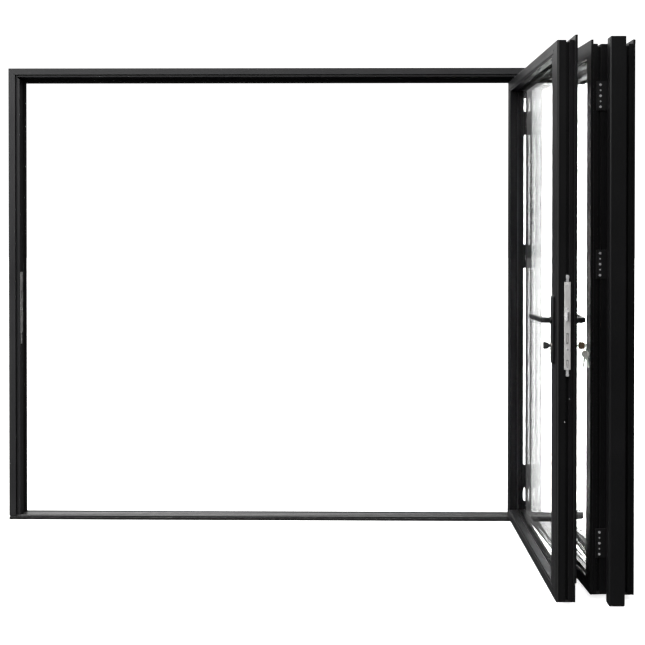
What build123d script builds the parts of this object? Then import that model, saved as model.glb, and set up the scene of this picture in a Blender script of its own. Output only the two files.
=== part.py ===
"""Three-leaf bifold glass patio door, folded open outwards to the right.

Millimetres. +Z up, X along the frame, -Y is the outside. The origin is the middle
of the underside of the threshold. All sections are drawn as (a, d): a runs from the
outer edge of a profile towards the glass or the opening, d from the outside face in.
A leaf is drawn in its own frame: x from its low edge, y in from its outside face.
"""
from build123d import *
import os

# Outer frame
FRAME_WIDTH = 2680.0
FRAME_HEIGHT = 2100.0
FRAME_DEPTH = 70.0
JAMB_FACE = 31.0
JAMB_REBATE = 49.0
JAMB_STOP = 57.0
HEAD_FACE = 29.0
HEAD_REBATE = 39.0
HEAD_STOP = 59.0
FACE_STEP = 7.0
STOP_DEPTH = 9.0
SHADOW_GAP = 2.0

# Low threshold: front lip, ridge, guide slot, water bar and inner lip
THRESHOLD_HEIGHT = 19.0
TREAD_DROP = 2.0
FRONT_LIP_HEIGHT = 12.0
FRONT_LIP_THICK = 2.5
FRONT_GROOVE_FLOOR = 8.0
RIDGE_AT = 7.0
RIDGE_WIDTH = 6.5
RIDGE_SLOPE = 1.5
WATER_BAR_AT = 37.0
WATER_BAR_WIDTH = 5.0
BAR_SLOPE = 1.0

# Running track, measured in from the outside face of the frame
TRACK_INSET = 20.0
TRACK_SLOT = 9.0
TRACK_DEPTH = 9.0
HEAD_TRACK_WIDTH = 24.0
HEAD_TRACK_DEPTH = 20.0
HEAD_TRACK_WALL = 2.0
TRACK_LIP = 6.0

# Seals on the inner stop of the frame
STOP_SEAL_THICK = 4.0
STOP_SEAL_GAP = 0.5
STOP_SEAL_INSET = 6.0

# Leaves
LEAF_DEPTH = 70.0
LEAF_LIFT = 5.0
LEAF_HEAD_ROOM = 28.0
LEAD_WIDTH = 840.0
JAMB_LEAF_WIDTH = 761.0
MIDDLE_EXTRA_WIDTH = 20.0
LOCK_STILE_FACE = 73.0
STILE_FACE = 47.0
TOP_RAIL_FACE = 47.0
BOTTOM_RAIL_FACE = 47.0
FLANGE_OVERLAP = 15.0
FLANGE_THICK = 9.0
FLANGE_LINE = 1.5
FLANGE_FOOT = 75.0
CORNER_RADIUS = 1.5

# Glazing
PANE = 4.0
UNIT_THICK = 18.0
SPACER_WIDTH = 10.0
GASKET = 4.0
GLAZING_LEG = 21.0
GLASS_EDGE_GAP = 4.0
GLAZING_SLOPE = 6.0
GLAZING_SLOPE_DEPTH = 4.0
BEAD_GAP = 0.5
BEAD_SLOPE = 5.0
BEAD_STEP = 2.0
BEAD_STEP_AT = 9.0

# Grooves along the edge of a leaf profile, by the depth of their middle
HARDWARE_GROOVE_AT = 31.0
GROOVE_MOUTH = 12.0
GROOVE_WIDTH = 16.0
GROOVE_DEPTH = 9.0
SEAL_GROOVE_AT = 64.0
SEAL_GROOVE_WIDTH = 5.0
SEAL_GROOVE_DEPTH = 6.0

# Folded stack, from the right outer edge and the outside face of the frame
JAMB_LEAF_INSET = 61.0
JAMB_LEAF_FAR_Y = -14.0
MIDDLE_INSET = 222.0
MIDDLE_TILT = 3.85
LEAD_INSET = 292.0
LEAD_FAR_Y = 5.0

# Interlock profile on the free edge of the jamb leaf
INTERLOCK_WIDTH = 56.0
INTERLOCK_PROJECTION = 55.0
INTERLOCK_BOX = 33.0
INTERLOCK_RIB = 11.0
INTERLOCK_WEB = 16.0
INTERLOCK_REBATE = 6.0
INTERLOCK_EDGE = 4.0
INTERLOCK_BEVEL = 3.0
INTERLOCK_DROP = 14.0
INTERLOCK_RISE = 15.0
INTERLOCK_INSET = 53.0

# Hinges
HINGE_FROM_BOTTOM = 189.0
HINGE_MIDDLE_RISE = 1019.0
HINGE_FROM_TOP = 190.0
HINGE_LENGTH = 105.0
KNUCKLE_RADIUS = 8.0
KNUCKLE_SIDES = 20
PIN_RADIUS = 3.5
PIN_SIDES = 12
HINGE_PLATE = 3.0
HINGE_PLATE_WIDTH = 34.0
KNUCKLE_GAP = 0.3
JAMB_PIN_OFFSET = 10.0
JAMB_PLATE_EDGE = 5.0
FOLD_PIN_SETBACK = 3.0
FOLD_PLATE_START = 20.0
FOLD_PLATE_REACH = 11.0
LEAD_PLATE_EDGE = 4.0
LEAD_PLATE_WIDTH = 38.0

# Carriage and guide at the folding corner
CARRIAGE_LENGTH = 70.0
CARRIAGE_PLATE = 6.0
CARRIAGE_HEIGHT = 10.0
WHEEL_RADIUS = 7.7
WHEEL_WIDTH = 5.0
WHEEL_LIFT = 0.3
STEM_RADIUS = 4.0
CORNER_HINGE_LENGTH = 60.0
CORNER_HINGE_INSET = 45.0
ARM_WIDTH = 12.0
ARM_THICK = 6.0
ARM_CLEARANCE = 3.0
SHOE_LENGTH = 60.0
SHOE_GAP = 0.5
SHOE_DEPTH = 7.0
GUIDE_ARM_THICK = 12.0
GUIDE_ARM_GAP = 1.0

# Lock, on the near edge of the lead leaf; heights from the spindle
SPINDLE_HEIGHT = 1029.0
CYLINDER_DROP = 92.0
BACKSET = 35.0
FACEPLATE_WIDTH = 22.0
FACEPLATE_BELOW = 173.0
FACEPLATE_ABOVE = 140.0
FACEPLATE_THICK = 2.5
FACEPLATE_CHAMFER = 0.8
CASE_WIDTH = 15.0
CASE_DEPTH = 47.0
CASE_BELOW = 168.0
CASE_ABOVE = 61.0
CASE_GAP = 0.5
LATCH_RISE = 18.0
LATCH_HEIGHT = 32.0
LATCH_WIDTH = 11.0
LATCH_THROW = 12.0
LATCH_TAIL = 13.0
LATCH_NOSE = 3.0
LATCH_SHOULDER = 1.0
SLIDE_GAP = 0.5
BOLT_SLOTS = ((62.0, 39.0), (151.0, 26.0))
BOLT_SLOT_WIDTH = 8.0
BOLT_MOUTH_DEPTH = 12.0
ROD_LENGTH = 25.0
ROD_WIDTH = 9.0
ROD_HEAD_WIDTH = 11.5
ROD_HEAD_LENGTH = 11.0
ROD_HEAD_BEVEL = 3.0

# Handles
BACKPLATE_WIDTH = 30.0
BACKPLATE_BELOW = 157.0
BACKPLATE_ABOVE = 89.0
BACKPLATE_THICK = 9.0
BACKPLATE_CORNER = 6.0
BACKPLATE_BEVEL = 2.0
SPINDLE_SIZE = 8.0
SPINDLE_BORE = 6.5
SPINDLE_ENTRY = 15.0
LEVER_GAP = 0.3
LEVER_COLLAR_RADIUS = 12.0
LEVER_COLLAR_THICK = 6.0
LEVER_NECK_WIDTH = 17.0
LEVER_NECK_REACH = 34.0
LEVER_GRIP_HEIGHT = 20.0
LEVER_GRIP_THICK = 12.0
LEVER_TIP_REACH = 44.0
LEVER_LENGTH = 148.0
LEVER_BEVEL = 2.5

# Profile cylinder, thumbturn and keys
BARREL_RADIUS = 8.5
CYLINDER_LEG = 10.0
CYLINDER_TALL = 33.0
CYLINDER_PROUD = 3.0
CYLINDER_GAP = 0.3
PLUG_RADIUS = 6.5
PLUG_DEPTH = 10.0
THUMBTURN_STEM = 6.0
THUMBTURN_REACH = 27.0
THUMBTURN_HALF_HEIGHT = 12.5
THUMBTURN_THICK = 8.0
THUMBTURN_ANGLE = 18.0
KEY_THICK = 2.2
KEY_BLADE = 7.8
KEY_BOW_LENGTH = 28.0
KEY_BOW_WIDTH = 24.0
KEY_BOW_CORNER = 8.0
KEY_EYE_RADIUS = 2.6
KEY_EYE_INSET = 5.0
KEY_SHANK_SHOWN = 8.0
SPARE_BLADE_LENGTH = 36.0
SPARE_KEYS = ((-1.6, 12.0), (1.6, -4.0))
RING_RADIUS = 11.0
RING_WIRE = 1.6
RING_SIDES = 24
RING_SLACK = 0.2

# Keep on the left jamb; heights from the spindle
KEEP_BELOW = 157.0
KEEP_ABOVE = 124.0
KEEP_WIDTH = 20.0
KEEP_WAVE = 3.0
KEEP_THICK = 3.0
KEEP_TONGUE_LENGTH = 55.0
KEEP_TONGUE_WIDTH = 13.0
KEEP_MOUTH_WIDTH = 11.0
KEEP_ROOM = 3.0

# Heights that follow from the sizes above
TREAD_TOP = THRESHOLD_HEIGHT - TREAD_DROP
LEAF_BOTTOM = TREAD_TOP + LEAF_LIFT
LEAF_TOP = FRAME_HEIGHT - HEAD_REBATE - LEAF_HEAD_ROOM
SOFFIT = FRAME_HEIGHT - HEAD_REBATE
LOWEST_HINGE = LEAF_BOTTOM + HINGE_FROM_BOTTOM
HINGE_HEIGHTS = (LOWEST_HINGE, LOWEST_HINGE + HINGE_MIDDLE_RISE, LEAF_TOP - HINGE_FROM_TOP)
CYLINDER_HEIGHT = SPINDLE_HEIGHT - CYLINDER_DROP
LATCH_MIDDLE = SPINDLE_HEIGHT + LATCH_RISE
MIDDLE_WIDTH = JAMB_LEAF_WIDTH + MIDDLE_EXTRA_WIDTH


def frame_x(from_left):
    """X of a distance measured from the left outer edge of the frame."""
    return from_left - FRAME_WIDTH / 2


def frame_y(from_outside):
    """Y of a distance measured inwards from the outside face of the frame."""
    return from_outside - FRAME_DEPTH / 2


JAMB_LEAF_X = FRAME_WIDTH / 2 - JAMB_LEAF_INSET
MIDDLE_X = FRAME_WIDTH / 2 - MIDDLE_INSET
LEAD_X = FRAME_WIDTH / 2 - LEAD_INSET
FOLD_NEAR_Y = frame_y(JAMB_LEAF_FAR_Y) - JAMB_LEAF_WIDTH
LEAD_NEAR_Y = frame_y(LEAD_FAR_Y) - LEAD_WIDTH
LEAD_PLACE = Location((LEAD_X, LEAD_NEAR_Y, 0), (0, 0, 90))
JAMB_PLACE = Location((JAMB_LEAF_X, FOLD_NEAR_Y, 0), (0, 0, 90))
MIDDLE_PLACE = (
    Location((MIDDLE_X, FOLD_NEAR_Y, 0), (0, 0, MIDDLE_TILT - 90)) * Location((-MIDDLE_WIDTH, 0, 0))
)


def box(x0, x1, y0, y1, z0, z1):
    """Box between two corners."""
    return Pos((x0 + x1) / 2, (y0 + y1) / 2, (z0 + z1) / 2) * Box(x1 - x0, y1 - y0, z1 - z0)


def rod(x, y, z0, z1, radius, sides=PIN_SIDES):
    """Upright bar that reads as round, with few flats because hinges repeat."""
    return Pos(x, y, z0) * extrude(RegularPolygon(radius, sides), z1 - z0)


def cross_rod(x, z, y0, y1, radius):
    """Round bar through the depth of a leaf."""
    return Pos(x, (y0 + y1) / 2, z) * Rot(90, 0, 0) * Cylinder(radius, y1 - y0)


def bar(points, length):
    """Bar along +X with the section (a, d) laid with a along +Z and d along +Y."""
    plane = Plane(origin=(0, 0, 0), x_dir=(0, 0, 1), z_dir=(1, 0, 0))
    outline = Polyline(*[(a, -d) for a, d in points], close=True)
    return extrude(plane * make_face(outline), length)


def left_side(shape):
    """Turn a bar made along +X with a up into an upright whose a points to +X."""
    return shape.moved(Location((0, 0, 0), (0, 90, 0))).mirror(Plane.XY)


def right_side(shape, width):
    """Mirror an upright to the far side of a width."""
    return left_side(shape).mirror(Plane.YZ).moved(Location((width, 0, 0)))


def top_side(shape, height):
    """Turn a bar made along +X over, so that its a points down from a height."""
    return shape.mirror(Plane.XY).moved(Location((0, 0, height)))


def frame_section(face, rebate, stop):
    """Section of a jamb or the head: face, shadow line, stepped rebate and inner stop."""
    line = FACE_STEP + SHADOW_GAP
    stop_at = FRAME_DEPTH - STOP_DEPTH
    return [
        (0, 0), (face, 0), (face, line), (face + SHADOW_GAP, line), (face + SHADOW_GAP, FACE_STEP),
        (rebate, FACE_STEP), (rebate, stop_at), (stop, stop_at), (stop, FRAME_DEPTH), (0, FRAME_DEPTH),
    ]


def threshold_section():
    """Section of the threshold, with a as height."""
    top = TREAD_TOP
    crest = THRESHOLD_HEIGHT
    ridge_end = RIDGE_AT + RIDGE_WIDTH
    slot0 = TRACK_INSET - TRACK_SLOT / 2
    slot1 = TRACK_INSET + TRACK_SLOT / 2
    bar_end = WATER_BAR_AT + WATER_BAR_WIDTH
    inner = FRAME_DEPTH - STOP_DEPTH
    lip = [(0, 0), (FRONT_LIP_HEIGHT, 0), (FRONT_LIP_HEIGHT, FRONT_LIP_THICK)]
    groove = [(FRONT_GROOVE_FLOOR, FRONT_LIP_THICK), (FRONT_GROOVE_FLOOR, RIDGE_AT)]
    ridge = [
        (top, RIDGE_AT), (crest, RIDGE_AT + RIDGE_SLOPE), (crest, ridge_end - RIDGE_SLOPE), (top, ridge_end),
    ]
    slot = [(top, slot0), (top - TRACK_DEPTH, slot0), (top - TRACK_DEPTH, slot1), (top, slot1)]
    water_bar = [
        (top, WATER_BAR_AT), (crest, WATER_BAR_AT + BAR_SLOPE), (crest, bar_end - BAR_SLOPE), (top, bar_end),
    ]
    back = [(top, inner), (crest, inner + BAR_SLOPE), (crest, FRAME_DEPTH), (0, FRAME_DEPTH)]
    return lip + groove + ridge + slot + water_bar + back


def outer_frame():
    """Jambs, head and threshold, with mitred upper corners."""
    jamb = bar(frame_section(JAMB_FACE, JAMB_REBATE, JAMB_STOP), FRAME_HEIGHT - THRESHOLD_HEIGHT)
    upright = left_side(jamb).moved(Location((0, 0, THRESHOLD_HEIGHT)))
    head = top_side(bar(frame_section(HEAD_FACE, HEAD_REBATE, HEAD_STOP), FRAME_WIDTH), FRAME_HEIGHT)
    slope = HEAD_STOP / JAMB_STOP
    cut_left = Plane((0, 0, FRAME_HEIGHT), x_dir=(0, 1, 0), z_dir=(slope, 0, 1))
    cut_right = Plane((FRAME_WIDTH, 0, FRAME_HEIGHT), x_dir=(0, 1, 0), z_dir=(-slope, 0, 1))
    left = split(upright, bisect_by=cut_left, keep=Keep.BOTTOM)
    head = split(head, bisect_by=cut_left, keep=Keep.TOP)
    head = split(head, bisect_by=cut_right, keep=Keep.TOP)
    track0 = TRACK_INSET - HEAD_TRACK_WIDTH / 2
    track1 = TRACK_INSET + HEAD_TRACK_WIDTH / 2
    head -= box(JAMB_REBATE, FRAME_WIDTH - JAMB_REBATE, track0, track1, SOFFIT, SOFFIT + HEAD_TRACK_DEPTH)
    place = Location((frame_x(0), frame_y(0), 0))
    right = left.mirror(Plane.YZ).moved(Location((FRAME_WIDTH, 0, 0)))
    return {
        "frame_jamb_left": left.moved(place),
        "frame_jamb_right": right.moved(place),
        "frame_head": head.moved(place),
        "frame_threshold": bar(threshold_section(), FRAME_WIDTH).moved(place),
    }


def head_track():
    """Channel in the head that the carriage wheels run in, with two lips."""
    wall = HEAD_TRACK_WALL
    half = HEAD_TRACK_WIDTH / 2
    top = SOFFIT + HEAD_TRACK_DEPTH
    x1 = FRAME_WIDTH / 2 - JAMB_REBATE
    y = frame_y(TRACK_INSET)
    shell = box(-x1, x1, y - half, y + half, SOFFIT, top)
    shell -= box(-x1, x1, y - half + wall, y + half - wall, SOFFIT + wall, top - wall)
    shell -= box(-x1, x1, y - half + TRACK_LIP, y + half - TRACK_LIP, SOFFIT, SOFFIT + wall)
    return {"head_track": shell}


def frame_seals():
    """Rubber strips on the inner stop of the head and jambs."""
    y1 = frame_y(FRAME_DEPTH - STOP_DEPTH)
    y0 = y1 - STOP_SEAL_THICK
    x1 = FRAME_WIDTH / 2 - JAMB_REBATE
    strip = JAMB_STOP - JAMB_REBATE - 2 * STOP_SEAL_GAP
    head_x = x1 - strip - STOP_SEAL_GAP
    stop_edge = FRAME_HEIGHT - HEAD_STOP + STOP_SEAL_GAP
    head = box(-head_x, head_x, y0, y1, stop_edge, SOFFIT - STOP_SEAL_INSET)
    left = box(-x1, strip - x1, y0, y1, THRESHOLD_HEIGHT, SOFFIT)
    right = box(x1 - strip, x1, y0, y1, THRESHOLD_HEIGHT, SOFFIT)
    return {"frame_seals": Compound(children=[head, left, right])}


def leaf_section(face, flange, grooved):
    """Section of a stile or rail, without its glazing bead."""
    half = GROOVE_WIDTH / 2
    mouth = GROOVE_MOUTH / 2
    seal = SEAL_GROOVE_WIDTH / 2
    neck = GROOVE_DEPTH / 2
    floor = face - GLAZING_LEG
    line = FLANGE_THICK + FLANGE_LINE
    outside = [(-flange, FLANGE_THICK), (-flange, CORNER_RADIUS), (CORNER_RADIUS - flange, 0)]
    glazing_side = [
        (face - GLAZING_SLOPE, 0), (face, GLAZING_SLOPE_DEPTH), (face, FLANGE_THICK),
        (floor, FLANGE_THICK), (floor, LEAF_DEPTH),
    ]
    inside = [(CORNER_RADIUS, LEAF_DEPTH), (0, LEAF_DEPTH - CORNER_RADIUS)]
    seal_groove = [
        (0, SEAL_GROOVE_AT + seal), (SEAL_GROOVE_DEPTH, SEAL_GROOVE_AT + seal),
        (SEAL_GROOVE_DEPTH, SEAL_GROOVE_AT - seal), (0, SEAL_GROOVE_AT - seal),
    ]
    hardware_groove = [
        (0, HARDWARE_GROOVE_AT + mouth), (neck, HARDWARE_GROOVE_AT + mouth),
        (neck, HARDWARE_GROOVE_AT + half), (GROOVE_DEPTH, HARDWARE_GROOVE_AT + half),
        (GROOVE_DEPTH, HARDWARE_GROOVE_AT - half), (neck, HARDWARE_GROOVE_AT - half),
        (neck, HARDWARE_GROOVE_AT - mouth), (0, HARDWARE_GROOVE_AT - mouth),
    ]
    flange_line = [(0, line), (FLANGE_LINE, line), (FLANGE_LINE, FLANGE_THICK)]
    edge = seal_groove + hardware_groove if grooved else []
    return outside + glazing_side + inside + edge + flange_line


def side_bar(points, length, low_face, high_face):
    """Bar along +X cut at each end on the line to where two faces meet."""
    own = max(a for a, d in points)
    spare = low_face + high_face
    body = bar(points, length + 2 * spare).moved(Location((-spare, 0, 0)))
    cut_low = Plane((0, 0, 0), x_dir=(0, 1, 0), z_dir=(own, 0, -low_face))
    cut_high = Plane((length, 0, 0), x_dir=(0, 1, 0), z_dir=(-own, 0, -high_face))
    body = split(body, bisect_by=cut_low, keep=Keep.TOP)
    return split(body, bisect_by=cut_high, keep=Keep.TOP)


def leaf_frame(width, low_face, high_face, low_flange):
    """Stiles and rails of one leaf in its own frame, mitred at the corners."""
    height = LEAF_TOP - LEAF_BOTTOM
    rails = (BOTTOM_RAIL_FACE, TOP_RAIL_FACE)
    low = left_side(side_bar(leaf_section(low_face, low_flange, True), height, *rails))
    high = right_side(side_bar(leaf_section(high_face, 0, True), height, *rails), width)
    bottom = side_bar(leaf_section(BOTTOM_RAIL_FACE, 0, False), width, low_face, high_face)
    top = side_bar(leaf_section(TOP_RAIL_FACE, FLANGE_OVERLAP, True), width, low_face, high_face)
    top = top_side(top, height)
    spare = 2 * FLANGE_OVERLAP
    below = FLANGE_THICK + 1
    top -= box(width, width + spare, -1, below, 0, height + spare)
    if low_flange:
        low -= box(-spare, 0, -1, FLANGE_THICK, -spare, FLANGE_FOOT)
        top -= box(-2 * spare, -low_flange, -1, below, 0, height + spare)
    else:
        top -= box(-spare, 0, -1, below, 0, height + spare)
    return [part.moved(Location((0, 0, LEAF_BOTTOM))) for part in (low, high, bottom, top)]


def ring(x0, x1, z0, z1, y0, y1, wide):
    """Flat upright frame with one opening."""
    return box(x0, x1, y0, y1, z0, z1) - box(x0 + wide, x1 - wide, y0 - 1, y1 + 1, z0 + wide, z1 - wide)


def glazing(width, low_face, high_face):
    """Two panes, spacer, gaskets and the four beads that hold them."""
    x0 = low_face
    x1 = width - high_face
    z0 = LEAF_BOTTOM + BOTTOM_RAIL_FACE
    z1 = LEAF_TOP - TOP_RAIL_FACE
    cover = GLAZING_LEG - GLASS_EDGE_GAP
    edges = (x0 - cover, x1 + cover, z0 - cover, z1 + cover)
    outer = FLANGE_THICK + GASKET
    inner = outer + UNIT_THICK
    panes = [sheet(edges, outer, outer + PANE), sheet(edges, inner - PANE, inner)]
    seals = [
        ring(*edges, outer + PANE, inner - PANE, SPACER_WIDTH),
        ring(*edges, FLANGE_THICK, outer, cover),
        ring(*edges, inner, inner + GASKET, cover),
    ]
    return {
        "glass": Compound(children=panes),
        "glazing_seals": Compound(children=seals),
        "beads": Compound(children=bead_set(inner + GASKET, x0, x1, z0, z1)),
    }


def sheet(edges, y0, y1):
    """Plain upright sheet between four edges."""
    x0, x1, z0, z1 = edges
    return box(x0, x1, y0, y1, z0, z1)


def bead_set(front, x0, x1, z0, z1):
    """Beads on the four sides of a glass opening: the upright ones fit between the others."""
    seat = GLAZING_LEG
    step = LEAF_DEPTH - BEAD_STEP
    profile = [
        (-seat, front), (-BEAD_SLOPE, front), (0, front + BEAD_SLOPE), (0, step), (-BEAD_STEP_AT, step),
        (-BEAD_STEP_AT, LEAF_DEPTH), (-seat, LEAF_DEPTH),
    ]
    level = bar(profile, x1 - x0 + 2 * seat)
    bottom = level.moved(Location((x0 - seat, 0, z0)))
    top = level.mirror(Plane.XY).moved(Location((x0 - seat, 0, z1)))
    upright = left_side(bar(profile, z1 - z0 - 2 * BEAD_GAP)).moved(Location((0, 0, z0 + BEAD_GAP)))
    left = upright.moved(Location((x0, 0, 0)))
    right = upright.mirror(Plane.YZ).moved(Location((x1, 0, 0)))
    return [bottom, top, left, right]


def place_leaf(name, width, low_face, high_face, place, low_flange=0):
    """All nodes of one leaf, put in place. The middle leaf is turned, its low edge far."""
    low_name, high_name = ("stile_far", "stile_near") if name == "middle" else ("stile_near", "stile_far")
    low, high, bottom, top = leaf_frame(width, low_face, high_face, low_flange)
    nodes = {
        f"{name}_{low_name}": low,
        f"{name}_{high_name}": high,
        f"{name}_rail_bottom": bottom,
        f"{name}_rail_top": top,
    }
    for part, shape in glazing(width, low_face, high_face).items():
        nodes[f"{name}_{part}"] = shape
    return {node: shape.moved(place) for node, shape in nodes.items()}


def interlock():
    """Box profile on the free edge of the jamb leaf that covers the gap to its neighbour."""
    front = -INTERLOCK_PROJECTION
    left = INTERLOCK_INSET + INTERLOCK_WIDTH
    right = INTERLOCK_INSET
    back = front + INTERLOCK_BOX
    rebate = back - INTERLOCK_REBATE
    web = right + INTERLOCK_WEB
    points = [
        (front, right), (front, left - INTERLOCK_BEVEL), (front + INTERLOCK_BEVEL, left), (back, left),
        (back, left - INTERLOCK_EDGE), (rebate, left - INTERLOCK_RIB), (rebate, web), (0, web), (0, right),
    ]
    height = LEAF_TOP - LEAF_BOTTOM + INTERLOCK_DROP + INTERLOCK_RISE
    body = extrude(make_face(Polyline(*points, close=True)), height)
    corners = body.edges().filter_by(Axis.X).group_by(Axis.Z)[-1].sort_by(Axis.Y)
    body = chamfer(corners[-1:], INTERLOCK_BEVEL)
    body = body.moved(Location((0, 0, LEAF_BOTTOM - INTERLOCK_DROP)))
    return {"interlock_profile": body.moved(JAMB_PLACE)}


def hinge(x, y, z, length, plate_a, plate_b):
    """Butt hinge about an upright pin: plate A has the middle knuckle, plate B the others and the pin."""
    third = (length - 2 * KNUCKLE_GAP) / 3
    foot = z - length / 2
    low_top = foot + third
    high_foot = foot + length - third
    clear = KNUCKLE_RADIUS + KNUCKLE_GAP
    around = (x - clear, x + clear, y - clear, y + clear)
    middle = rod(x, y, low_top + KNUCKLE_GAP, high_foot - KNUCKLE_GAP, KNUCKLE_RADIUS, KNUCKLE_SIDES)
    part_a = plate_a - box(*around, foot - 1, low_top + KNUCKLE_GAP)
    part_a -= box(*around, high_foot - KNUCKLE_GAP, foot + length + 1)
    part_a += middle
    part_a -= rod(x, y, foot, foot + length, PIN_RADIUS + KNUCKLE_GAP)
    part_b = plate_b - box(*around, low_top, high_foot)
    part_b += rod(x, y, foot, low_top, KNUCKLE_RADIUS, KNUCKLE_SIDES)
    part_b += rod(x, y, high_foot, foot + length, KNUCKLE_RADIUS, KNUCKLE_SIDES)
    part_b += rod(x, y, low_top, high_foot, PIN_RADIUS)
    return [part_a, part_b]


def jamb_hinges():
    """Hinges between the jamb leaf and the outside of the right jamb."""
    x = JAMB_LEAF_X + JAMB_PIN_OFFSET
    outside = frame_y(0)
    y = outside - JAMB_PIN_OFFSET
    edge = frame_y(JAMB_LEAF_FAR_Y)
    jamb_edge = FRAME_WIDTH / 2 - JAMB_PLATE_EDGE
    parts = []
    for z in HINGE_HEIGHTS:
        z0 = z - HINGE_LENGTH / 2
        z1 = z + HINGE_LENGTH / 2
        leaf = box(JAMB_LEAF_X, JAMB_LEAF_X + HINGE_PLATE, edge - HINGE_PLATE_WIDTH, y, z0, z1)
        leaf += box(JAMB_LEAF_X, x, y - HINGE_PLATE, y, z0, z1)
        jamb = box(x, jamb_edge, outside - HINGE_PLATE, outside, z0, z1)
        jamb += box(x, x + HINGE_PLATE, y, outside, z0, z1)
        parts += hinge(x, y, z, HINGE_LENGTH, leaf, jamb)
    return {"jamb_hinges": Compound(children=parts)}


def fold_hinges():
    """Hinges between the middle leaf's near edge and the inside face of the jamb leaf."""
    corner = MIDDLE_PLACE * Location((MIDDLE_WIDTH, LEAF_DEPTH, 0))
    face = JAMB_LEAF_X - LEAF_DEPTH
    x = (corner.position.X + face) / 2
    y = FOLD_NEAR_Y + FOLD_PIN_SETBACK
    parts = []
    for z in HINGE_HEIGHTS:
        z0 = z - HINGE_LENGTH / 2
        z1 = z + HINGE_LENGTH / 2
        edge_plate = box(
            MIDDLE_WIDTH, MIDDLE_WIDTH + HINGE_PLATE, FOLD_PLATE_START, LEAF_DEPTH + FOLD_PLATE_REACH, z0, z1
        )
        face_plate = box(face - HINGE_PLATE, face, y, y + HINGE_PLATE_WIDTH, z0, z1)
        parts += hinge(x, y, z, HINGE_LENGTH, face_plate, edge_plate.moved(MIDDLE_PLACE))
    return {"fold_hinges": Compound(children=parts)}


def lead_pivot():
    """Plan position of the pin between the lead leaf and the middle leaf."""
    return (LEAD_X + MIDDLE_PLACE.position.X) / 2, frame_y(0)


def lead_hinge(z, length):
    """One hinge between the outside faces of the lead leaf and the middle leaf."""
    x, y = lead_pivot()
    z0 = z - length / 2
    z1 = z + length / 2
    lead_plate = box(LEAD_X, LEAD_X + HINGE_PLATE, y - HINGE_PLATE_WIDTH, y, z0, z1)
    middle_plate = box(LEAD_PLATE_EDGE, LEAD_PLATE_WIDTH, -HINGE_PLATE, 0, z0, z1)
    return hinge(x, y, z, length, lead_plate, middle_plate.moved(MIDDLE_PLACE))


def lead_hinges():
    """Hinges at the folding corner that runs along the track."""
    parts = []
    for z in HINGE_HEIGHTS:
        parts += lead_hinge(z, HINGE_LENGTH)
    return {"lead_hinges": Compound(children=parts)}


def top_carriage():
    """Roller carriage in the head track, with the arm and post that carry the corner."""
    x, y = lead_pivot()
    track = frame_y(TRACK_INSET)
    axle = SOFFIT + HEAD_TRACK_WALL + WHEEL_LIFT + WHEEL_RADIUS
    half = CARRIAGE_LENGTH / 2
    side = CARRIAGE_PLATE / 2
    arm_top = LEAF_TOP + FLANGE_OVERLAP + ARM_CLEARANCE + ARM_THICK
    rise = CARRIAGE_HEIGHT / 2
    body = box(x - half, x + half, track - side, track + side, axle - rise, axle + rise)
    for dx in (WHEEL_RADIUS - half, half - WHEEL_RADIUS):
        reach = side + WHEEL_WIDTH
        body += cross_rod(x + dx, axle, track - reach, track + reach, WHEEL_RADIUS)
    body += rod(x, track, arm_top, axle, STEM_RADIUS)
    arm = ARM_WIDTH / 2
    body += box(x - arm, x + arm, y - arm, track + arm, arm_top - ARM_THICK, arm_top)
    middle = LEAF_TOP - CORNER_HINGE_INSET
    leaf_part, corner_part = lead_hinge(middle, CORNER_HINGE_LENGTH)
    body += rod(x, y, middle + CORNER_HINGE_LENGTH / 2, arm_top - ARM_THICK, PIN_RADIUS)
    return {"top_carriage": Compound(children=[leaf_part, corner_part + body])}


def bottom_guide():
    """Guide shoe in the threshold slot, with the arm and post under the folding corner."""
    x, y = lead_pivot()
    track = frame_y(TRACK_INSET)
    side = TRACK_SLOT / 2 - SHOE_GAP
    arm_foot = THRESHOLD_HEIGHT + GUIDE_ARM_GAP
    arm_top = arm_foot + GUIDE_ARM_THICK
    half = SHOE_LENGTH / 2
    arm = ARM_WIDTH / 2
    body = box(x - half, x + half, track - side, track + side, TREAD_TOP - SHOE_DEPTH, arm_foot)
    body += box(x - arm, x + arm, y - arm, track + side, arm_foot, arm_top)
    middle = LEAF_BOTTOM + CORNER_HINGE_INSET
    leaf_part, corner_part = lead_hinge(middle, CORNER_HINGE_LENGTH)
    body += rod(x, y, arm_top, middle - CORNER_HINGE_LENGTH / 2, PIN_RADIUS)
    return {"bottom_guide": Compound(children=[leaf_part, corner_part + body])}


def cylinder_profile(grow, y0, y1):
    """Profile cylinder between two depths, larger by a clearance."""
    half = CYLINDER_LEG / 2 + grow
    foot = CYLINDER_HEIGHT + BARREL_RADIUS - CYLINDER_TALL + CYLINDER_LEG / 2
    barrel = cross_rod(BACKSET, CYLINDER_HEIGHT, y0, y1, BARREL_RADIUS + grow)
    leg = box(BACKSET - half, BACKSET + half, y0, y1, foot, CYLINDER_HEIGHT)
    return barrel + leg + cross_rod(BACKSET, foot, y0, y1, half)


def latch_mouth(x0, x1):
    """Room that the latch slides in, between two depths from the edge of the leaf."""
    wide = LATCH_WIDTH / 2 + SLIDE_GAP
    tall = LATCH_HEIGHT / 2 + SLIDE_GAP
    y = HARDWARE_GROOVE_AT
    return box(x0, x1, y - wide, y + wide, LATCH_MIDDLE - tall, LATCH_MIDDLE + tall)


def bolt_mouths(depth):
    """Mouths of the retracted hook bolts, from in front of the faceplate to a depth."""
    half = BOLT_SLOT_WIDTH / 2
    y = HARDWARE_GROOVE_AT
    mouths = []
    for drop, height in BOLT_SLOTS:
        middle = SPINDLE_HEIGHT - drop
        mouths.append(box(-depth, depth, y - half, y + half, middle - height / 2, middle + height / 2))
    return mouths


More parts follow.
